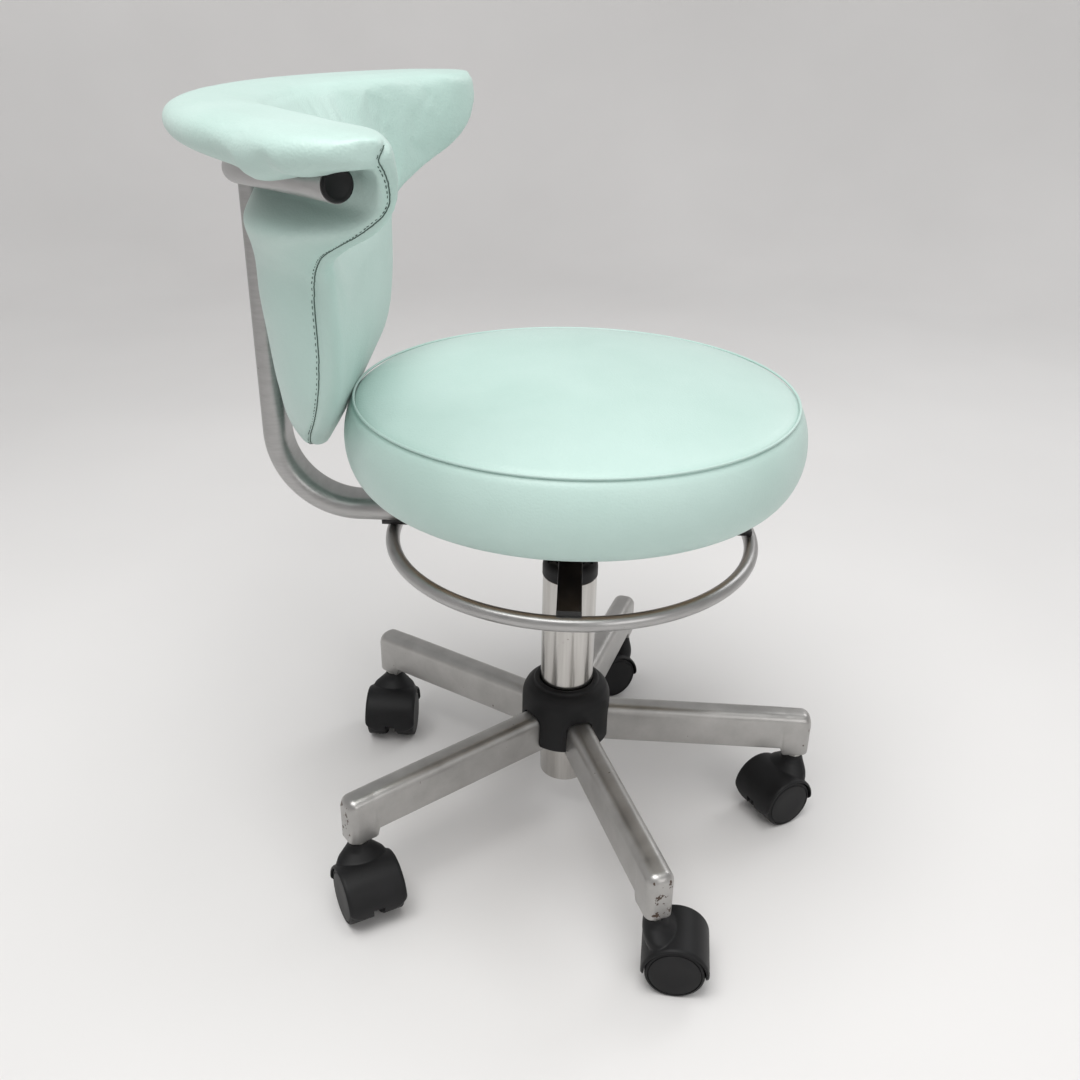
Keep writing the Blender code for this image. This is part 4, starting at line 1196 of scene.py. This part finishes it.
def add_stitch(points, faces, middle, along, beside, normal):
    """One thread stitch: a short bead with pinched ends."""
    start = len(points)
    half, thick = 0.0014, 0.00034
    stations = [(-1.0, 0.15), (-0.75, 0.8), (0.0, 1.0), (0.75, 0.8), (1.0, 0.15)]
    for t, w in stations:
        for k in range(6):
            a = TAU * k / 6
            points.append(middle + along * (half * t) + (beside * math.cos(a) + normal * math.sin(a))
                          * (thick * w) - normal * (0.0003 * t * t))
    for s in range(len(stations) - 1):
        for k in range(6):
            j = (k + 1) % 6
            a, b = start + s * 6, start + (s + 1) * 6
            faces.append((a + k, a + j, b + j, b + k))
    faces.append(tuple(start + k for k in range(6)))
    faces.append(tuple(start + (len(stations) - 1) * 6 + k for k in range(6)))


# ---- carried-over CAD pieces ------------------------------------------------------------------
CARRIED = {
    "satin_steel": ["base_hub"],
    "chrome": ["piston_rod"],
    "black_steel": ["seat_bracket", "seat_plate", "release_finger"],
    "plywood": ["seat_board"],
    "zinc_steel": ["thrust_bearing", "retaining_clip", "valve_pin", "pivot_pin"]
    + [f"caster_stem_{k}" for k in range(1, 6)] + [f"caster_axle_{k}" for k in range(1, 6)]
    + [f"seat_bolt_{k}" for k in range(1, 5)],
}


def dress_cad():
    for look, nodes in CARRIED.items():
        for node in nodes:
            obj = frame["nodes"][node]
            if not obj.material_slots:
                obj.data.materials.append(LOOKS[look])
            for slot in obj.material_slots:
                slot.material = LOOKS[look]


# ---- studio -----------------------------------------------------------------------------------
def make_stage():
    """A wide pale floor, soft light from above and in front, and a pale surround."""
    outline = [(0.0, 0.0), (1.0, 0.0)] + arc((2.2, 1.0), (1.0, 1.0), -90, 0, 12)
    outline += [(3.2, 1.6), (3.25, 1.6), (3.25, -0.05), (0.0, -0.05)]
    floor = turned("floor", outline, 96, sharp=30)
    look = Look("floor_paint")
    cloud = look.noise(1.2, 3.0, 0.5)
    look.feed("Base Color", look.ramp(cloud, [(0.3, (0.76, 0.75, 0.745)), (0.7, (0.82, 0.81, 0.805))]))
    look.set(Roughness=0.6)
    floor.data.materials.append(look.mat)

    world = bpy.data.worlds.new("surround")
    world.use_nodes = True
    world.node_tree.nodes["Background"].inputs["Color"].default_value = (0.86, 0.86, 0.86, 1)
    world.node_tree.nodes["Background"].inputs["Strength"].default_value = 0.50
    bpy.context.scene.world = world

    add_light("overhead", (-0.55, 0.25, 2.2), (0, 0, 0.3), 1.5, 36.0, (1.0, 0.995, 0.985))
    add_light("near_side", (-2.0, -1.4, 1.4), (0, 0, 0.35), 1.2, 9.0, (1.0, 0.99, 0.98))
    add_light("far_side", (1.5, -1.6, 1.8), (0, 0, 0.4), 1.0, 9.0, (0.99, 0.995, 1.0))


def add_light(name, place_at, aim, size, power, colour):
    data = bpy.data.lights.new(name, "AREA")
    data.shape = "SQUARE"
    data.size = size
    data.energy = power
    data.color = colour
    lamp = linked(name, data)
    lamp.location = place_at
    lamp.rotation_euler = (Vector(aim) - Vector(place_at)).to_track_quat("-Z", "Y").to_euler()


def make_camera():
    """A view from the -X side, looking down by about 27 degrees, with a slight roll."""
    target = COLUMN + Vector((0.0359, 0.0293, 0.2797))
    azimuth, elevation, roll = math.radians(-88.25), math.radians(26.9), math.radians(1.12)
    back = Vector((math.sin(azimuth) * math.cos(elevation), -math.cos(azimuth) * math.cos(elevation),
                   math.sin(elevation)))
    right = (-back).cross(Vector((0, 0, 1))).normalized()
    up = right.cross(-back)
    turned_right = right * math.cos(roll) + up * math.sin(roll)
    turned_up = up * math.cos(roll) - right * math.sin(roll)
    data = bpy.data.cameras.new("camera")
    data.sensor_width = 36.0
    data.lens = 36.9
    camera = linked("camera", data)
    spot = target + back * 1.0419
    axes = Matrix((turned_right, turned_up, back)).transposed().to_4x4()
    camera.matrix_world = Matrix.Translation(spot) @ axes
    bpy.context.scene.camera = camera


def main():
    bpy.context.scene.view_settings.view_transform = "Standard"
    make_camera()
    make_stage()
    dress_cad()
    make_arms()
    make_hub_cover()
    make_column()
    make_ring()
    make_casters()
    make_cushion()
    rail = make_bar()
    make_arc_tube(rail)
    make_backrest(rail)


main()
